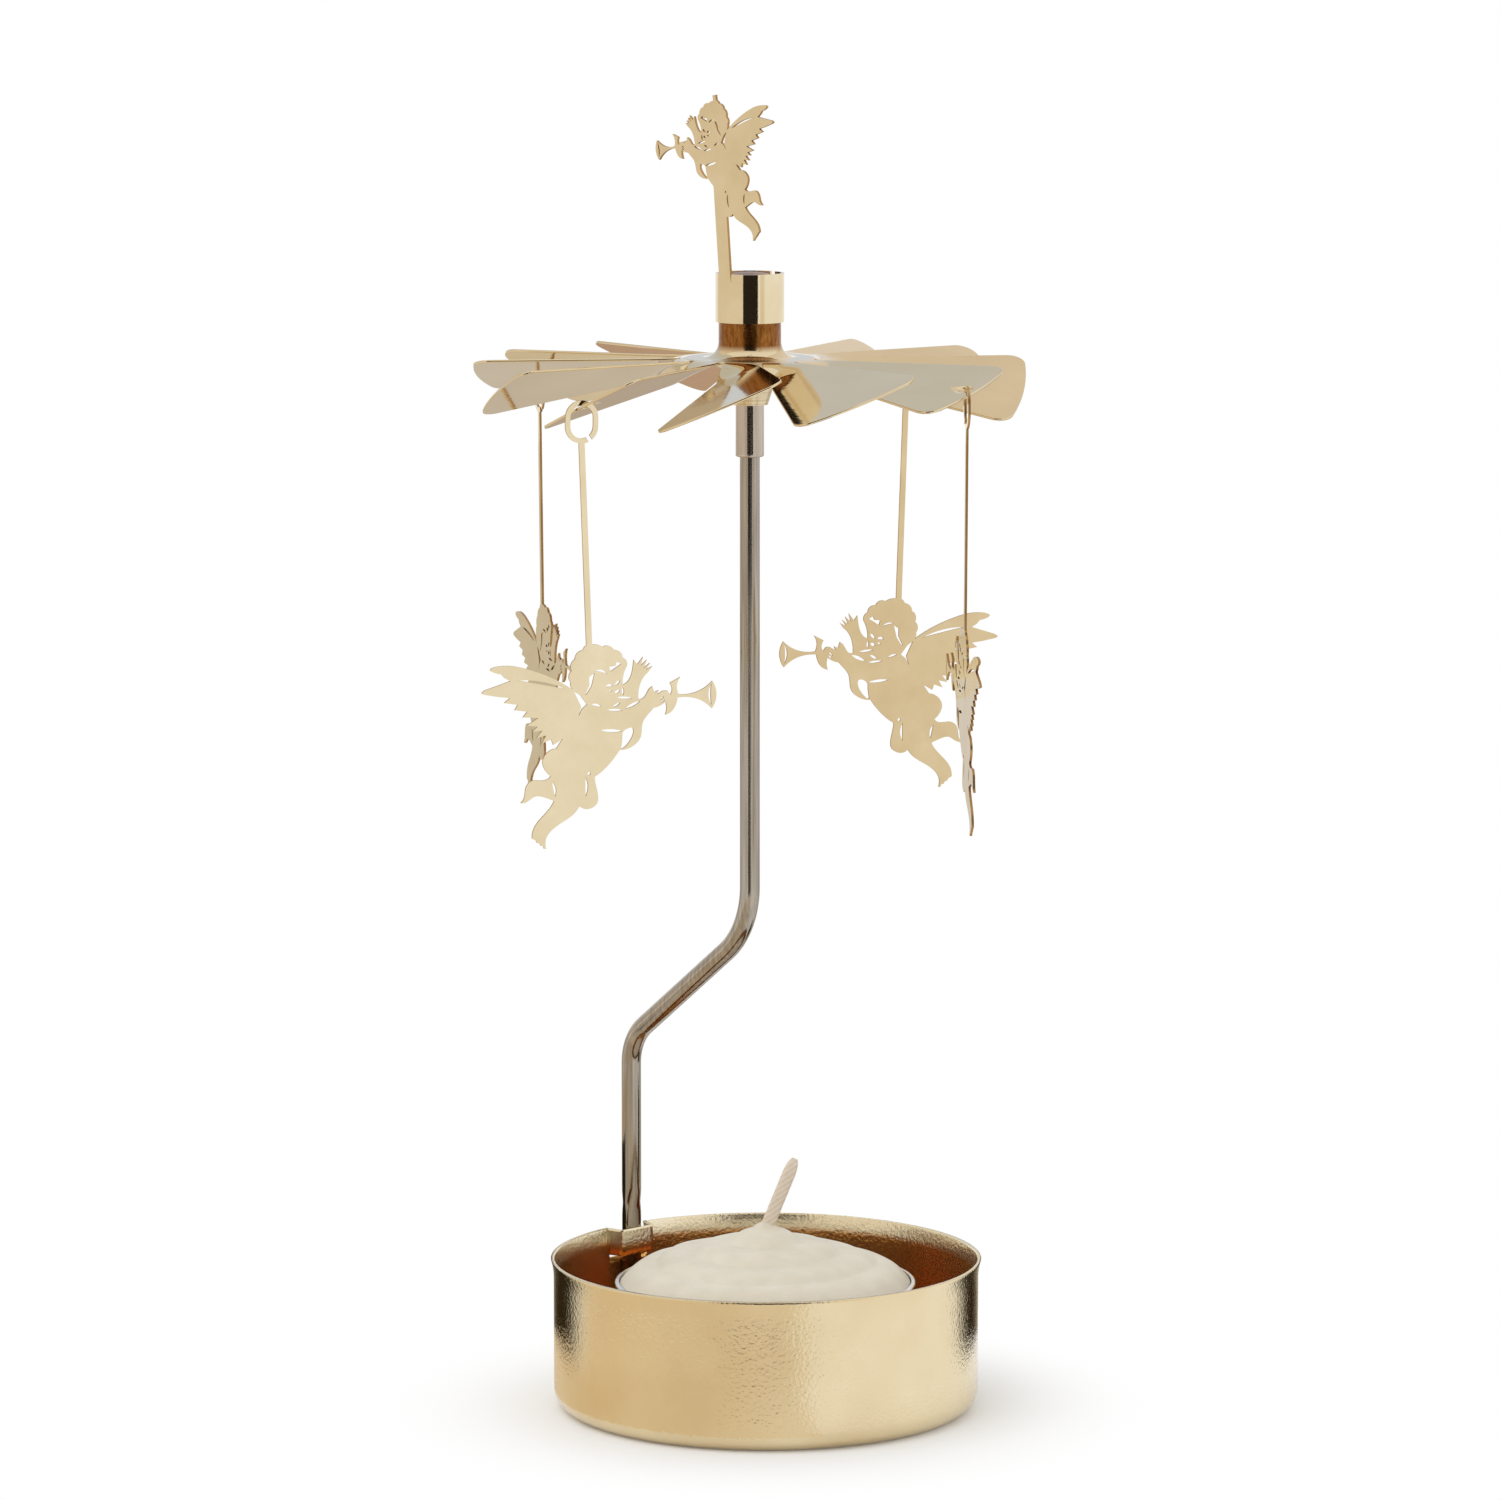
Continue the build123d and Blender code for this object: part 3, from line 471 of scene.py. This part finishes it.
def makeWire(w):
    # Centre line in the upright plane of the strap: straight runs joined by arcs tangent to both. The
    # section is |x/a|^n + |y/b|^n = 1, with n from 4 in the flattened tongue to 2 in the round wire.
    low, high = np.array([w["foot"], w["lowBend"]]), np.array([axisOffset, w["highBend"]])
    run = (high - low) / np.linalg.norm(high - low)
    slope = math.degrees(math.acos(run[1]))  # turn at each bend
    reach = math.tan(math.radians(slope / 2))
    lowCentre = low + np.array([-w["lowRadius"], -w["lowRadius"] * reach])
    highCentre = high + np.array([w["highRadius"], w["highRadius"] * reach])
    lowArc = arc(lowCentre, w["lowRadius"], 0, slope, w["lowSteps"])
    highArc = arc(highCentre, w["highRadius"], 180 + slope, 180, w["highSteps"])
    taperTop = w["tongueTop"] + w["taper"]
    footZ = np.concatenate([[w["bottom"]], np.linspace(w["bottom"] + w["hold"], w["tongueTop"], 8),
                            np.linspace(w["tongueTop"], taperTop, 14)[1:]])
    foot = np.stack([np.full(len(footZ), w["foot"]), footZ], -1)
    topZ = np.array([w["coneBase"] - w["hold"], w["coneBase"], w["point"]])
    top = np.stack([np.full(len(topZ), axisOffset), topZ], -1)
    line = np.concatenate([foot, lowArc, highArc, top])
    heading = np.radians(np.concatenate([np.zeros(len(foot)), np.linspace(0, slope, w["lowSteps"]),
                                         np.linspace(slope, 0, w["highSteps"]), np.zeros(len(top))]))[:, None]
    roundness = smoothStep(line[:, 1], w["tongueTop"], taperTop)[:, None]
    # the edges round off in the first half of the taper, so it doesn't swell
    rounding = smoothStep(line[:, 1], w["tongueTop"] - 0.3, w["tongueTop"] + 0.5 * w["taper"])[:, None]
    thin = (w["tongueThick"] / 2) * (1 - roundness) + w["radius"] * roundness
    wide = (w["tongueWide"] / 2) * (1 - roundness) + w["radius"] * roundness
    shrink = np.ones((len(line), 1))
    shrink[-1] = w["tip"] / w["radius"]
    x, y = roundedSection(w["around"], 2 / (4 - 2 * rounding))
    u, v, z = sweep(line, shrink * thin * x, shrink * wide * y, heading)
    points = np.stack([*turned(u, v, strapAngle), z], -1)
    makePiece("crankWire", [(points, gridFaces(len(u), w["around"], wrapColumns=True))], "stand", "cranked_wire",
              wireNickel, recalc=True)


makeWire(wire)
print("wire made")

# bearing: tube and bush

bearing = {"tubeRadius": 1.775, "tubeBore": 1.33, "tubeBottom": 120.0, "tubeTop": 139.8, "chamfer": 0.25,
           "hold": 0.15, "bushBore": 1.805, "nose": 2.25, "shoulder": 3.1, "body": 3.545, "noseZ": 126.5,
           "shoulderZ": 130.3, "ledgeZ": 134.2, "topZ": 138.8, "around": 72}


def makeBearing(b):
    # Two lathe shapes: a tube with a rounded lower edge, and a bush whose nose tapers down to it.
    lead = arc((b["tubeRadius"] - b["chamfer"], b["tubeBottom"] + b["chamfer"]), b["chamfer"], -90, 0, 7)
    # a ring close above the rounded edge keeps the long wall's shading straight
    held = b["tubeBottom"] + b["chamfer"] + b["hold"]
    tube = np.concatenate([[(b["tubeBore"], b["tubeBottom"])], lead, [
        (b["tubeRadius"], held), (b["tubeRadius"], b["tubeTop"]), (b["tubeBore"], b["tubeTop"])]])
    makePiece("bearingSleeve", [lathe(tube, spindle, b["around"])], "rotor", "bearing_tube",
              tubeNickel, recalc=True)
    # nose: radius = nose + (shoulder - nose) sin(90 t), height linear in t
    t = np.linspace(0, 1, 16)
    noseR = b["nose"] + (b["shoulder"] - b["nose"]) * np.sin(t * np.pi / 2)
    noseZ = b["noseZ"] + (b["shoulderZ"] - b["noseZ"]) * t
    bush = np.concatenate([[(b["bushBore"], b["noseZ"])], np.stack([noseR, noseZ], -1), [
        (b["shoulder"], b["ledgeZ"]), (b["body"], b["ledgeZ"]), (b["body"], b["topZ"]), (b["bushBore"], b["topZ"])]])
    makePiece("hubBush", [lathe(bush, spindle, b["around"])], "rotor", "hub_bush", brassRod,
              recalc=True)


makeBearing(bearing)
print("bearing made")

# fan

fan = {"level": 132.2, "sheet": 0.3, "radius": 34.3, "hubRadius": 3.875, "hubRise": 10.8, "dome": 0.4,
       "hubCorner": 1.1, "flare": 2.0, "hold": 0.2, "around": 180, "blades": 12, "phase": -37.7, "root": 8.6,
       "knee": 12.6, "slit": 0.7, "corner": 2.0, "hole": 0.95, "bridge": 0.45, "figureStep": 3, "rings": 24,
       # each blade is bent by hand, so they differ
       "tilts": (16.5, 25, 25, 29, 25, 25, 28, 17, 23.5, 25, 23.5, 20)}


def bladeOutline(f):
    # Flat blade, counter-clockwise: root arc on the disc, straight slit edges, outer arc, rounded corners.
    half = math.radians(180 / f["blades"])
    off = f["slit"] / 2 / math.cos(half)
    # root corners lie where the slit edges leave the disc of radius root
    rootAngle = half - math.asin(f["slit"] / 2 / f["root"])
    # corner circle inside the slit edge and the outer arc: its centre is on the line y = x tan - lift,
    # at distance reach from the axis
    c = f["corner"]
    reach = f["radius"] - c
    lift = off + c / math.cos(half)
    tan = math.tan(half)
    p, q, k = 1 + tan * tan, -2 * tan * lift, lift * lift - reach * reach
    cx = (-q + math.sqrt(q * q - 4 * p * k)) / (2 * p)
    cy = cx * tan - lift
    outward = math.degrees(math.atan2(cy, cx))
    edgeNormal = 90 + math.degrees(half)
    corner = arc((cx, cy), c, outward, edgeNormal, 14)
    outer = arc((0, 0), f["radius"], 0, outward, 14)[:-1]
    root = arc((0, 0), f["root"], math.degrees(rootAngle), 0, 10)
    side = np.linspace(corner[-1], root[0], 40)[1:-1]
    upper = np.concatenate([outer, corner, side, root])
    lower = (upper * [1, -1])[::-1][1:-1]
    return np.concatenate([upper, lower])


def bendBlade(f, flat, bladeTilt):
    # Bend about the upper slit edge: a point goes down by its distance from that edge times sin(tilt),
    # and the tilt grows smoothly from the root to the knee.
    half = 180 / f["blades"]
    off = f["slit"] / 2 / math.cos(math.radians(half))
    x, y = flat[..., 0], flat[..., 1]
    along, across = turned(x, y + off, -half)
    tilt = math.radians(bladeTilt) * smoothStep(np.hypot(x, y), f["root"], f["knee"])
    x, y = turned(along, across * np.cos(tilt), half)
    return x, y - off, across * np.sin(tilt)


def makeFan(f):
    # Hub: dome, rounded corner, wall, flare and disc as r(z), carried round the spindle. Blade: straight
    # lines from the rim of the hook hole (or a point) to the outline, then bent.
    top = f["level"] + f["hubRise"]
    halfSheet = f["sheet"] / 2
    r, c = f["hubRadius"] - halfSheet, f["hubCorner"] - halfSheet
    domeR = np.linspace(0, r - c, 6)
    dome = np.stack([domeR, top - halfSheet - f["dome"] * (domeR / (r - c)) ** 2], -1)
    crown = arc((r - c, top - halfSheet - f["dome"] - c), c, 90, 0, 10)[1:]
    flareR = f["flare"] + halfSheet
    wall = np.array([[r, top - f["hubCorner"] - f["dome"] - f["hold"]], [r, f["level"] + flareR + f["hold"]]])
    flare = arc((f["hubRadius"] + f["flare"], f["level"] + flareR), flareR, 180, 270, 14)
    disc = np.stack([np.linspace(f["hubRadius"] + f["flare"], f["root"], 5)[1:], np.full(4, f["level"])], -1)
    hub = lathe(np.concatenate([dome, crown, wall, flare, disc])[::-1], spindle, f["around"], closed=False)
    parts = [hub]
    outline = bladeOutline(f)
    holeX = f["radius"] - f["bridge"] - f["hole"]
    angle = np.arctan2(outline[:, 1], outline[:, 0] - holeX)
    rim = np.stack([np.cos(angle), np.sin(angle)], -1)
    # rings lie closer together at the outline, where the blade bends
    t = 1 - (1 - np.linspace(0, 1, f["rings"])[:, None, None]) ** 1.5
    for index, bladeTilt in enumerate(f["tilts"]):
        size = f["hole"] if index % f["figureStep"] == 0 else 0.0
        inner = np.array([holeX, 0]) + size * rim
        x, y, z = bendBlade(f, inner[None] * (1 - t) + outline[None] * t, bladeTilt)
        x, y = turned(x, y, f["phase"] + index * 360 / f["blades"])
        points = np.stack([x + spindle[0], y + spindle[1], z + f["level"]], -1)
        parts.append((points, gridFaces(f["rings"], len(outline), wrapColumns=True)[:, ::-1]))
    piece = makePiece("tinFan", parts, "rotor", "fan", tinplate, sharp=60)
    giveThickness(piece, f["sheet"], 0)


makeFan(fan)
print("fan made")

# figures: flat etched sheets from the CAD, the standing one with a smooth clip ring

# heights and radii between which the ring's walls lie, and how straight their normals point to the spindle
clipRing = {"low": 136.8, "high": 142.85, "inner": 3.8, "outer": 4.4, "radial": 0.97}


def makeFigure(name, node, body, ring=None):
    # merged copy of the CAD sheet: crisp flat faces, brown cut edges, and walls smooth round the ring
    mesh = nodes[node].data.copy()
    bm = bmesh.new()
    bm.from_mesh(mesh)
    bmesh.ops.remove_doubles(bm, verts=bm.verts, dist=1e-6)
    bm.to_mesh(mesh)
    bm.free()
    if "custom_normal" in mesh.attributes:
        mesh.attributes.remove(mesh.attributes["custom_normal"])
    count = len(mesh.polygons)
    normals, centres, areas = np.empty(count * 3), np.empty(count * 3), np.empty(count)
    mesh.polygons.foreach_get("normal", normals)
    mesh.polygons.foreach_get("center", centres)
    mesh.polygons.foreach_get("area", areas)
    normals, centres = normals.reshape(-1, 3), centres.reshape(-1, 3) / mm
    smooth, sheet = np.zeros(count, bool), np.ones(count, bool)
    if ring:
        out = centres[:, :2] - spindle
        reach = np.hypot(out[:, 0], out[:, 1])
        radial = np.abs((normals[:, :2] * out).sum(1)) / reach > ring["radial"]
        sheet = centres[:, 2] > ring["high"]
        onWall = (reach > ring["inner"]) & (reach < ring["outer"])
        smooth = radial & (centres[:, 2] > ring["low"]) & ~sheet & onWall
    # cut edges: faces square to the largest face of the sheet
    face = normals[np.argmax(areas * sheet)]
    cut = sheet & (np.abs(normals @ face) < 0.5)
    mesh.polygons.foreach_set("use_smooth", smooth)
    mesh.set_sharp_from_angle(angle=math.radians(40))
    mesh.materials.clear()
    mesh.materials.append(brassSheet)
    mesh.materials.append(brassEdge)
    mesh.polygons.foreach_set("material_index", cut.astype(np.int32))
    addPiece(name, mesh, body, node)


makeFigure("standingCherub", "top_cherub", "rotor", clipRing)
for number in "1234":
    makeFigure("hangingCherub" + number, "cherub_" + number, "hanging_cherub_" + number)
# two hidden pieces keep their CAD form
for name, material in {"pivot_seat": seatSteel, "wick_holder": foilCup}.items():
    nodes[name].data.materials.clear()
    nodes[name].data.materials.append(material)
print("figures dressed")

# tealight

tealight = {"centre": (-0.1, 0.0), "floor": 0.4, "cupRadius": 18.7, "cupHeight": 15.6, "foil": 0.25, "bead": 0.3,
            "foot": 1.0, "footInside": 0.75, "cupSteps": 144, "fit": 0.03, "waxEdge": 15.2, "waxCrown": 22.3,
            "terraces": (0.38, 0.56, 0.75, 1.0), "steep": (2.3, 3.4, 3.6, 3.0), "ripple": 0.08,
            "waver": ((3, 0.018, 0.7), (7, 0.011, 2.1), (13, 0.006, 0.0)),  # times round, share of radius, shift
            "coneHigh": 1.0, "coneReach": 1.7, "waxSteps": 160, "waxRings": 60}
wick = {"wide": 1.7, "thick": 1.0, "length": 9.6, "lean": 22.0, "bury": 0.4, "bend": 2.0, "square": 0.6,
        "plait": 1.1, "swell": 0.03, "bendSteps": 9, "tipSteps": 23, "around": 28}


def makeCup(k):
    # Closed outline of the foil: floor, rounded foot, wall, half-round bead and back down the inside,
    # carried round the cup's axis.
    bore, base, top = k["cupRadius"] - k["foil"], k["floor"], k["floor"] + k["cupHeight"]
    foot = arc((k["cupRadius"] - k["foot"], base + k["foot"]), k["foot"], -90, 0, 9)
    bead = arc((k["cupRadius"], top - k["bead"]), k["bead"], -90, 90, 13)
    inside = arc((bore - k["footInside"], base + k["foil"] + k["footInside"]), k["footInside"], 0, -90, 7)
    outline = np.concatenate([[(0, base)], foot, bead, [(bore, top)], inside, [(0, base + k["foil"])]])
    makePiece("tealightCup", [lathe(outline, k["centre"], k["cupSteps"])], "tealight", "tealight_cup",
              foilCup, sharp=50, recalc=True)


def makeWax(k):
    # Height over the radius in terraces, each rising as 1 - (1 - part)^steep from its outer edge. The edge
    # lines waver: radius * (1 + small sines of the angle), which fade out at the rim and the middle.
    edge, base = k["cupRadius"] - k["foil"] - k["fit"], k["floor"] + k["foil"]
    levels = np.concatenate([[0.0], k["terraces"]])
    t = np.linspace(0, 1, k["waxRings"])
    u = t * len(k["terraces"])
    i = np.minimum(u.astype(int), len(k["terraces"]) - 1)
    rise = 1 - (1 - (u - i)) ** np.array(k["steep"])[i]
    share = levels[i] + (levels[i + 1] - levels[i]) * rise
    z = k["floor"] + k["waxEdge"] + (k["waxCrown"] - k["waxEdge"]) * share
    a = np.linspace(0, 2 * np.pi, k["waxSteps"], endpoint=False)[:, None]
    waver = sum(amount * np.sin(times * a + shift) for times, amount, shift in k["waver"])
    fade = np.sin(np.pi * t)[None] ** 0.8
    rr = edge * (1 - t)[None] * (1 + waver * fade)
    # wax drawn up the wick: a small cone of radius coneReach at its foot
    cone = k["coneHigh"] * np.clip(1 - rr / k["coneReach"], 0, 1) ** 0.8
    zz = z[None] + k["ripple"] * np.sin(5 * a + 6 * t[None]) * fade + cone
    # under the top surface: the wall down to the foil, and the middle of the base
    rr = np.concatenate([0 * a, edge + 0 * a, rr], 1)
    zz = np.concatenate([base + 0 * a, base + 0 * a, zz], 1)
    points = np.stack([k["centre"][0] + rr * np.cos(a), k["centre"][1] + rr * np.sin(a), zz], -1)
    makePiece("waxFill", [(points, gridFaces(len(a), rr.shape[1], wrapRows=True))], "tealight", "tealight_wax",
              wax, sharp=75, recalc=True)


def makeWick(k, w):
    # Flat braid: a rounded section carried up the middle, round one bend and along the leaning end.
    foot = k["floor"] + k["foil"]
    bendZ = k["floor"] + k["waxCrown"] - w["bury"]
    back = w["bend"] * math.tan(math.radians(w["lean"] / 2))
    turn = arc((w["bend"], bendZ - back), w["bend"], 180, 180 - w["lean"], w["bendSteps"])
    lean = math.radians(w["lean"])
    length = w["length"] + w["bury"] - back
    steps = np.linspace(0, 1, w["tipSteps"] + 1)[1:, None]
    tip = turn[-1] + steps * length * np.array([[math.sin(lean), math.cos(lean)]])
    line = np.concatenate([[(0, foot)], turn, tip])
    heading = np.concatenate([[0], np.linspace(0, lean, w["bendSteps"]), np.full(w["tipSteps"], lean)])[:, None]
    # plaited edge: the width swells a little at each crossing, and the last rings round off the tip
    swell = 1 - w["swell"] * (1 - np.cos(2 * np.pi * line[:, 1:] / w["plait"])) / 2
    swell[-5:, 0] *= np.sqrt(1 - np.linspace(0.2, 0.9, 5) ** 2)
    x, y = roundedSection(w["around"], w["square"])
    u, v, z = sweep(line, swell * w["wide"] / 2 * x, swell * w["thick"] / 2 * y, -heading)
    points = np.stack([u + k["centre"][0], v + k["centre"][1], z], -1)
    makePiece("braidedWick", [(points, gridFaces(len(u), w["around"], wrapColumns=True))], "tealight", "wick",
              wickCotton, recalc=True)


makeCup(tealight)
makeWax(tealight)
makeWick(tealight, wick)
print("tealight made")

# studio: white room, paper floor, soft key, and cards that only the metal sees

studio = {"fill": 0.85, "key": 4.0, "keySize": 900.0, "keyPlace": (-550.0, -450.0, 1100.0), "keyTurn": (32, 0, -50),
          "floorHalf": 12000.0, "fibre": 2.0, "paperDark": "f7f7f6", "paperPale": "fbfbfa", "whiteFrom": 20.0,
          "whiteTo": 50.0}


def seenDirectly(tree):
    # 1 for the rays that show the background: from the camera, off metal or through glass
    path = addNode(tree, "ShaderNodeLightPath").outputs
    seen = path["Is Camera Ray"]
    for ray in ("Is Glossy Ray", "Is Transmission Ray"):
        either = addNode(tree, "ShaderNodeMath", {"operation": "MAXIMUM"}, links={0: seen, 1: path[ray]})
        seen = either.outputs["Value"]
    return seen


def addStage(name, mesh):
    backdrop = bpy.data.objects.new(name, mesh)
    bpy.context.scene.collection.objects.link(backdrop)
    return backdrop


def makeRoom(s):
    # white where it is seen, a little dimmer as light on the object
    world = bpy.data.worlds.new("whiteRoom")
    bpy.context.scene.world = world
    world.use_nodes = True
    tree = world.node_tree
    tree.nodes.clear()
    strength = addNode(tree, "ShaderNodeMapRange", values={"To Min": s["fill"], "To Max": 1.0},
                       links={"Value": seenDirectly(tree)})
    glow = addNode(tree, "ShaderNodeBackground", values={"Color": (1, 1, 1, 1)},
                   links={"Strength": strength.outputs["Result"]})
    addNode(tree, "ShaderNodeOutputWorld", links={"Surface": glow.outputs["Background"]})


def makeFloor(s):
    # white paper: takes the object's shadow, and runs out into plain white away from it
    material, tree, shader, place = startMaterial("paperFloor")
    fibre = addNode(tree, "ShaderNodeTexNoise", values={"Scale": 1 / (s["fibre"] * mm), "Detail": 3.0},
                    links={"Vector": place})
    colour = setRamp(addNode(tree, "ShaderNodeValToRGB", links={"Fac": fibre.outputs["Fac"]}),
                     [(0.0, s["paperDark"]), (1.0, s["paperPale"])])
    setSockets(tree, shader, {"Roughness": 0.9, "Specular IOR Level": 0.1}, {"Base Color": colour})
    away = addNode(tree, "ShaderNodeVectorMath", {"operation": "LENGTH"}, links={0: place})
    fade = addNode(tree, "ShaderNodeMapRange", {"interpolation_type": "SMOOTHSTEP"},
                   {"From Min": s["whiteFrom"] * mm, "From Max": s["whiteTo"] * mm}, {"Value": away.outputs["Value"]})
    share = addNode(tree, "ShaderNodeMath", {"operation": "MULTIPLY"},
                    links={0: seenDirectly(tree), 1: fade.outputs["Result"]})
    white = addNode(tree, "ShaderNodeEmission", values={"Color": (1, 1, 1, 1), "Strength": 1.0})
    paper = addNode(tree, "ShaderNodeMixShader", links={0: share.outputs["Value"], 1: shader.outputs["BSDF"],
                                                        2: white.outputs["Emission"]})
    showShader(tree, paper.outputs["Shader"])
    half = s["floorHalf"] * mm
    mesh = bpy.data.meshes.new("paperFloor")
    mesh.from_pydata([(-half, -half, 0), (half, -half, 0), (half, half, 0), (-half, half, 0)], [], [(0, 1, 2, 3)])
    mesh.materials.append(material)
    addStage("paperFloor", mesh)


def makeKey(s):
    # soft lamp from the upper left; the metal doesn't mirror it
    lamp = bpy.data.lights.new("softKey", "AREA")
    lamp.energy = s["key"]
    lamp.size = s["keySize"] * mm
    key = bpy.data.objects.new("softKey", lamp)
    key.location = [mm * c for c in s["keyPlace"]]
    key.rotation_euler = [math.radians(c) for c in s["keyTurn"]]
    key.visible_glossy = False
    bpy.context.scene.collection.objects.link(key)


makeRoom(studio)
makeFloor(studio)
makeKey(studio)

# Backdrop cards. Azimuth 0 faces the viewer and grows to the viewer's right; a card's colours run from
# its first azimuth to its last.
softDark = [(0.0, "d8ccb4"), (0.3, "2e2412"), (0.76, "2a2010"), (1.0, "ffffff")]
uprightCards = {  # radius, first and last azimuth, lower and upper edge, colours
    "viewerCard": (700.0, -23.0, 27.0, 14.0, 900.0, [(0.0, "2b2622")]),
    "leftWall": (700.0, -135.0, -23.0, 0.5, 900.0, [(0.0, "ece2d4")]),
    "rightPanel": (350.0, 35.0, 50.0, 0.5, 600.0, [(0.0, "ece2d3"), (1.0, "f2ebe0")]),
    "backWall": (900.0, 120.0, 240.0, 190.0, 1700.0, [(0.47, "efe9e4"), (0.49, "d5dbe3")]),
    "flagLeft": (52.0, -150.0, -90.5, 0.4, 25.0, softDark),
    "flagRight": (52.0, 142.0, 97.0, 0.4, 25.0, softDark)}
flatCards = {  # first and last azimuth, inner and outer radius, colours
    "viewerTable": (-21.0, 9.0, 230.0, 700.0, [(0.0, "6a6158")]),
    "backTable": (120.0, 240.0, 62.0, 1300.0,
                  [(0.58, "d3cec8"), (0.62, "e9e4dd"), (0.66, "e4ddd0"), (0.76, "d6cebf")]),
    "paleTable": (150.0, 172.0, 480.0, 1300.0, [(0.0, "f0f4fa")]),
    "bladeTable": (172.0, 190.0, 340.0, 560.0, [(0.0, "b9ab9a")]),
    "brownTable": (184.0, 194.0, 280.0, 370.0, [(0.0, "c2a691")]),
    "warmTable": (-150.0, 16.0, 28.0, 220.0, [(0.5, "e6d5ba"), (1.0, "eee5d8")])}
cardSteps = 33
flatLow, flatGap = 0.3, 0.1  # height of the lowest flat card over the floor, and of each over the one below


def makeCard(name, points, colours):
    # rows of points along the azimuth; glows in its own colours, for reflections only
    rows, columns = points.shape[:2]
    mesh = bpy.data.meshes.new(name)
    mesh.from_pydata(points.reshape(-1, 3) * mm, [], gridFaces(rows, columns).tolist())
    run = mesh.attributes.new("run", "FLOAT", "POINT")  # 0 at the first azimuth, 1 at the last
    run.data.foreach_set("value", np.repeat(np.linspace(0, 1, rows), columns))
    material, tree, shader, place = startMaterial(name)
    along = addNode(tree, "ShaderNodeAttribute", {"attribute_name": "run"})
    colour = setRamp(addNode(tree, "ShaderNodeValToRGB", links={"Fac": along.outputs["Fac"]}), colours)
    glow = addNode(tree, "ShaderNodeEmission", values={"Strength": 1.0}, links={"Color": colour})
    showShader(tree, glow.outputs["Emission"])
    tree.nodes.remove(shader)
    mesh.materials.append(material)
    card = addStage(name, mesh)
    for ray in ("camera", "diffuse", "shadow", "transmission", "volume_scatter"):
        setattr(card, "visible_" + ray, False)


for name, (radius, first, last, low, high, colours) in uprightCards.items():
    # cylinder wall: x = r sin a, y = -r cos a
    a, z = np.radians(np.linspace(first, last, cardSteps))[:, None], np.array([[low, high]])
    makeCard(name, np.stack([radius * np.sin(a) + 0 * z, -radius * np.cos(a) + 0 * z, z + 0 * a], -1), colours)
for index, (name, (first, last, inner, outer, colours)) in enumerate(flatCards.items()):
    # ring sector just over the floor: x = r sin a, y = -r cos a
    a, r = np.radians(np.linspace(first, last, cardSteps))[:, None], np.array([[inner, outer]])
    makeCard(name, np.stack([r * np.sin(a), -r * np.cos(a), flatLow + flatGap * index + 0 * (a + r)], -1), colours)

# camera: in front of the object, looking down by pitch
photoView = {"sensor": 36, "lens": 165.141, "place": (-2.0144, -850.0, 202.048), "pitch": 7.9415}
camera = bpy.data.cameras.new("viewCamera")
camera.sensor_width = photoView["sensor"]
camera.lens = photoView["lens"]
view = bpy.data.objects.new("viewCamera", camera)
view.location = [mm * c for c in photoView["place"]]
view.rotation_euler = (math.radians(90 - photoView["pitch"]), 0, 0)
bpy.context.scene.collection.objects.link(view)
bpy.context.scene.camera = view
bpy.context.scene.view_settings.view_transform = "Standard"
print("studio and camera set")
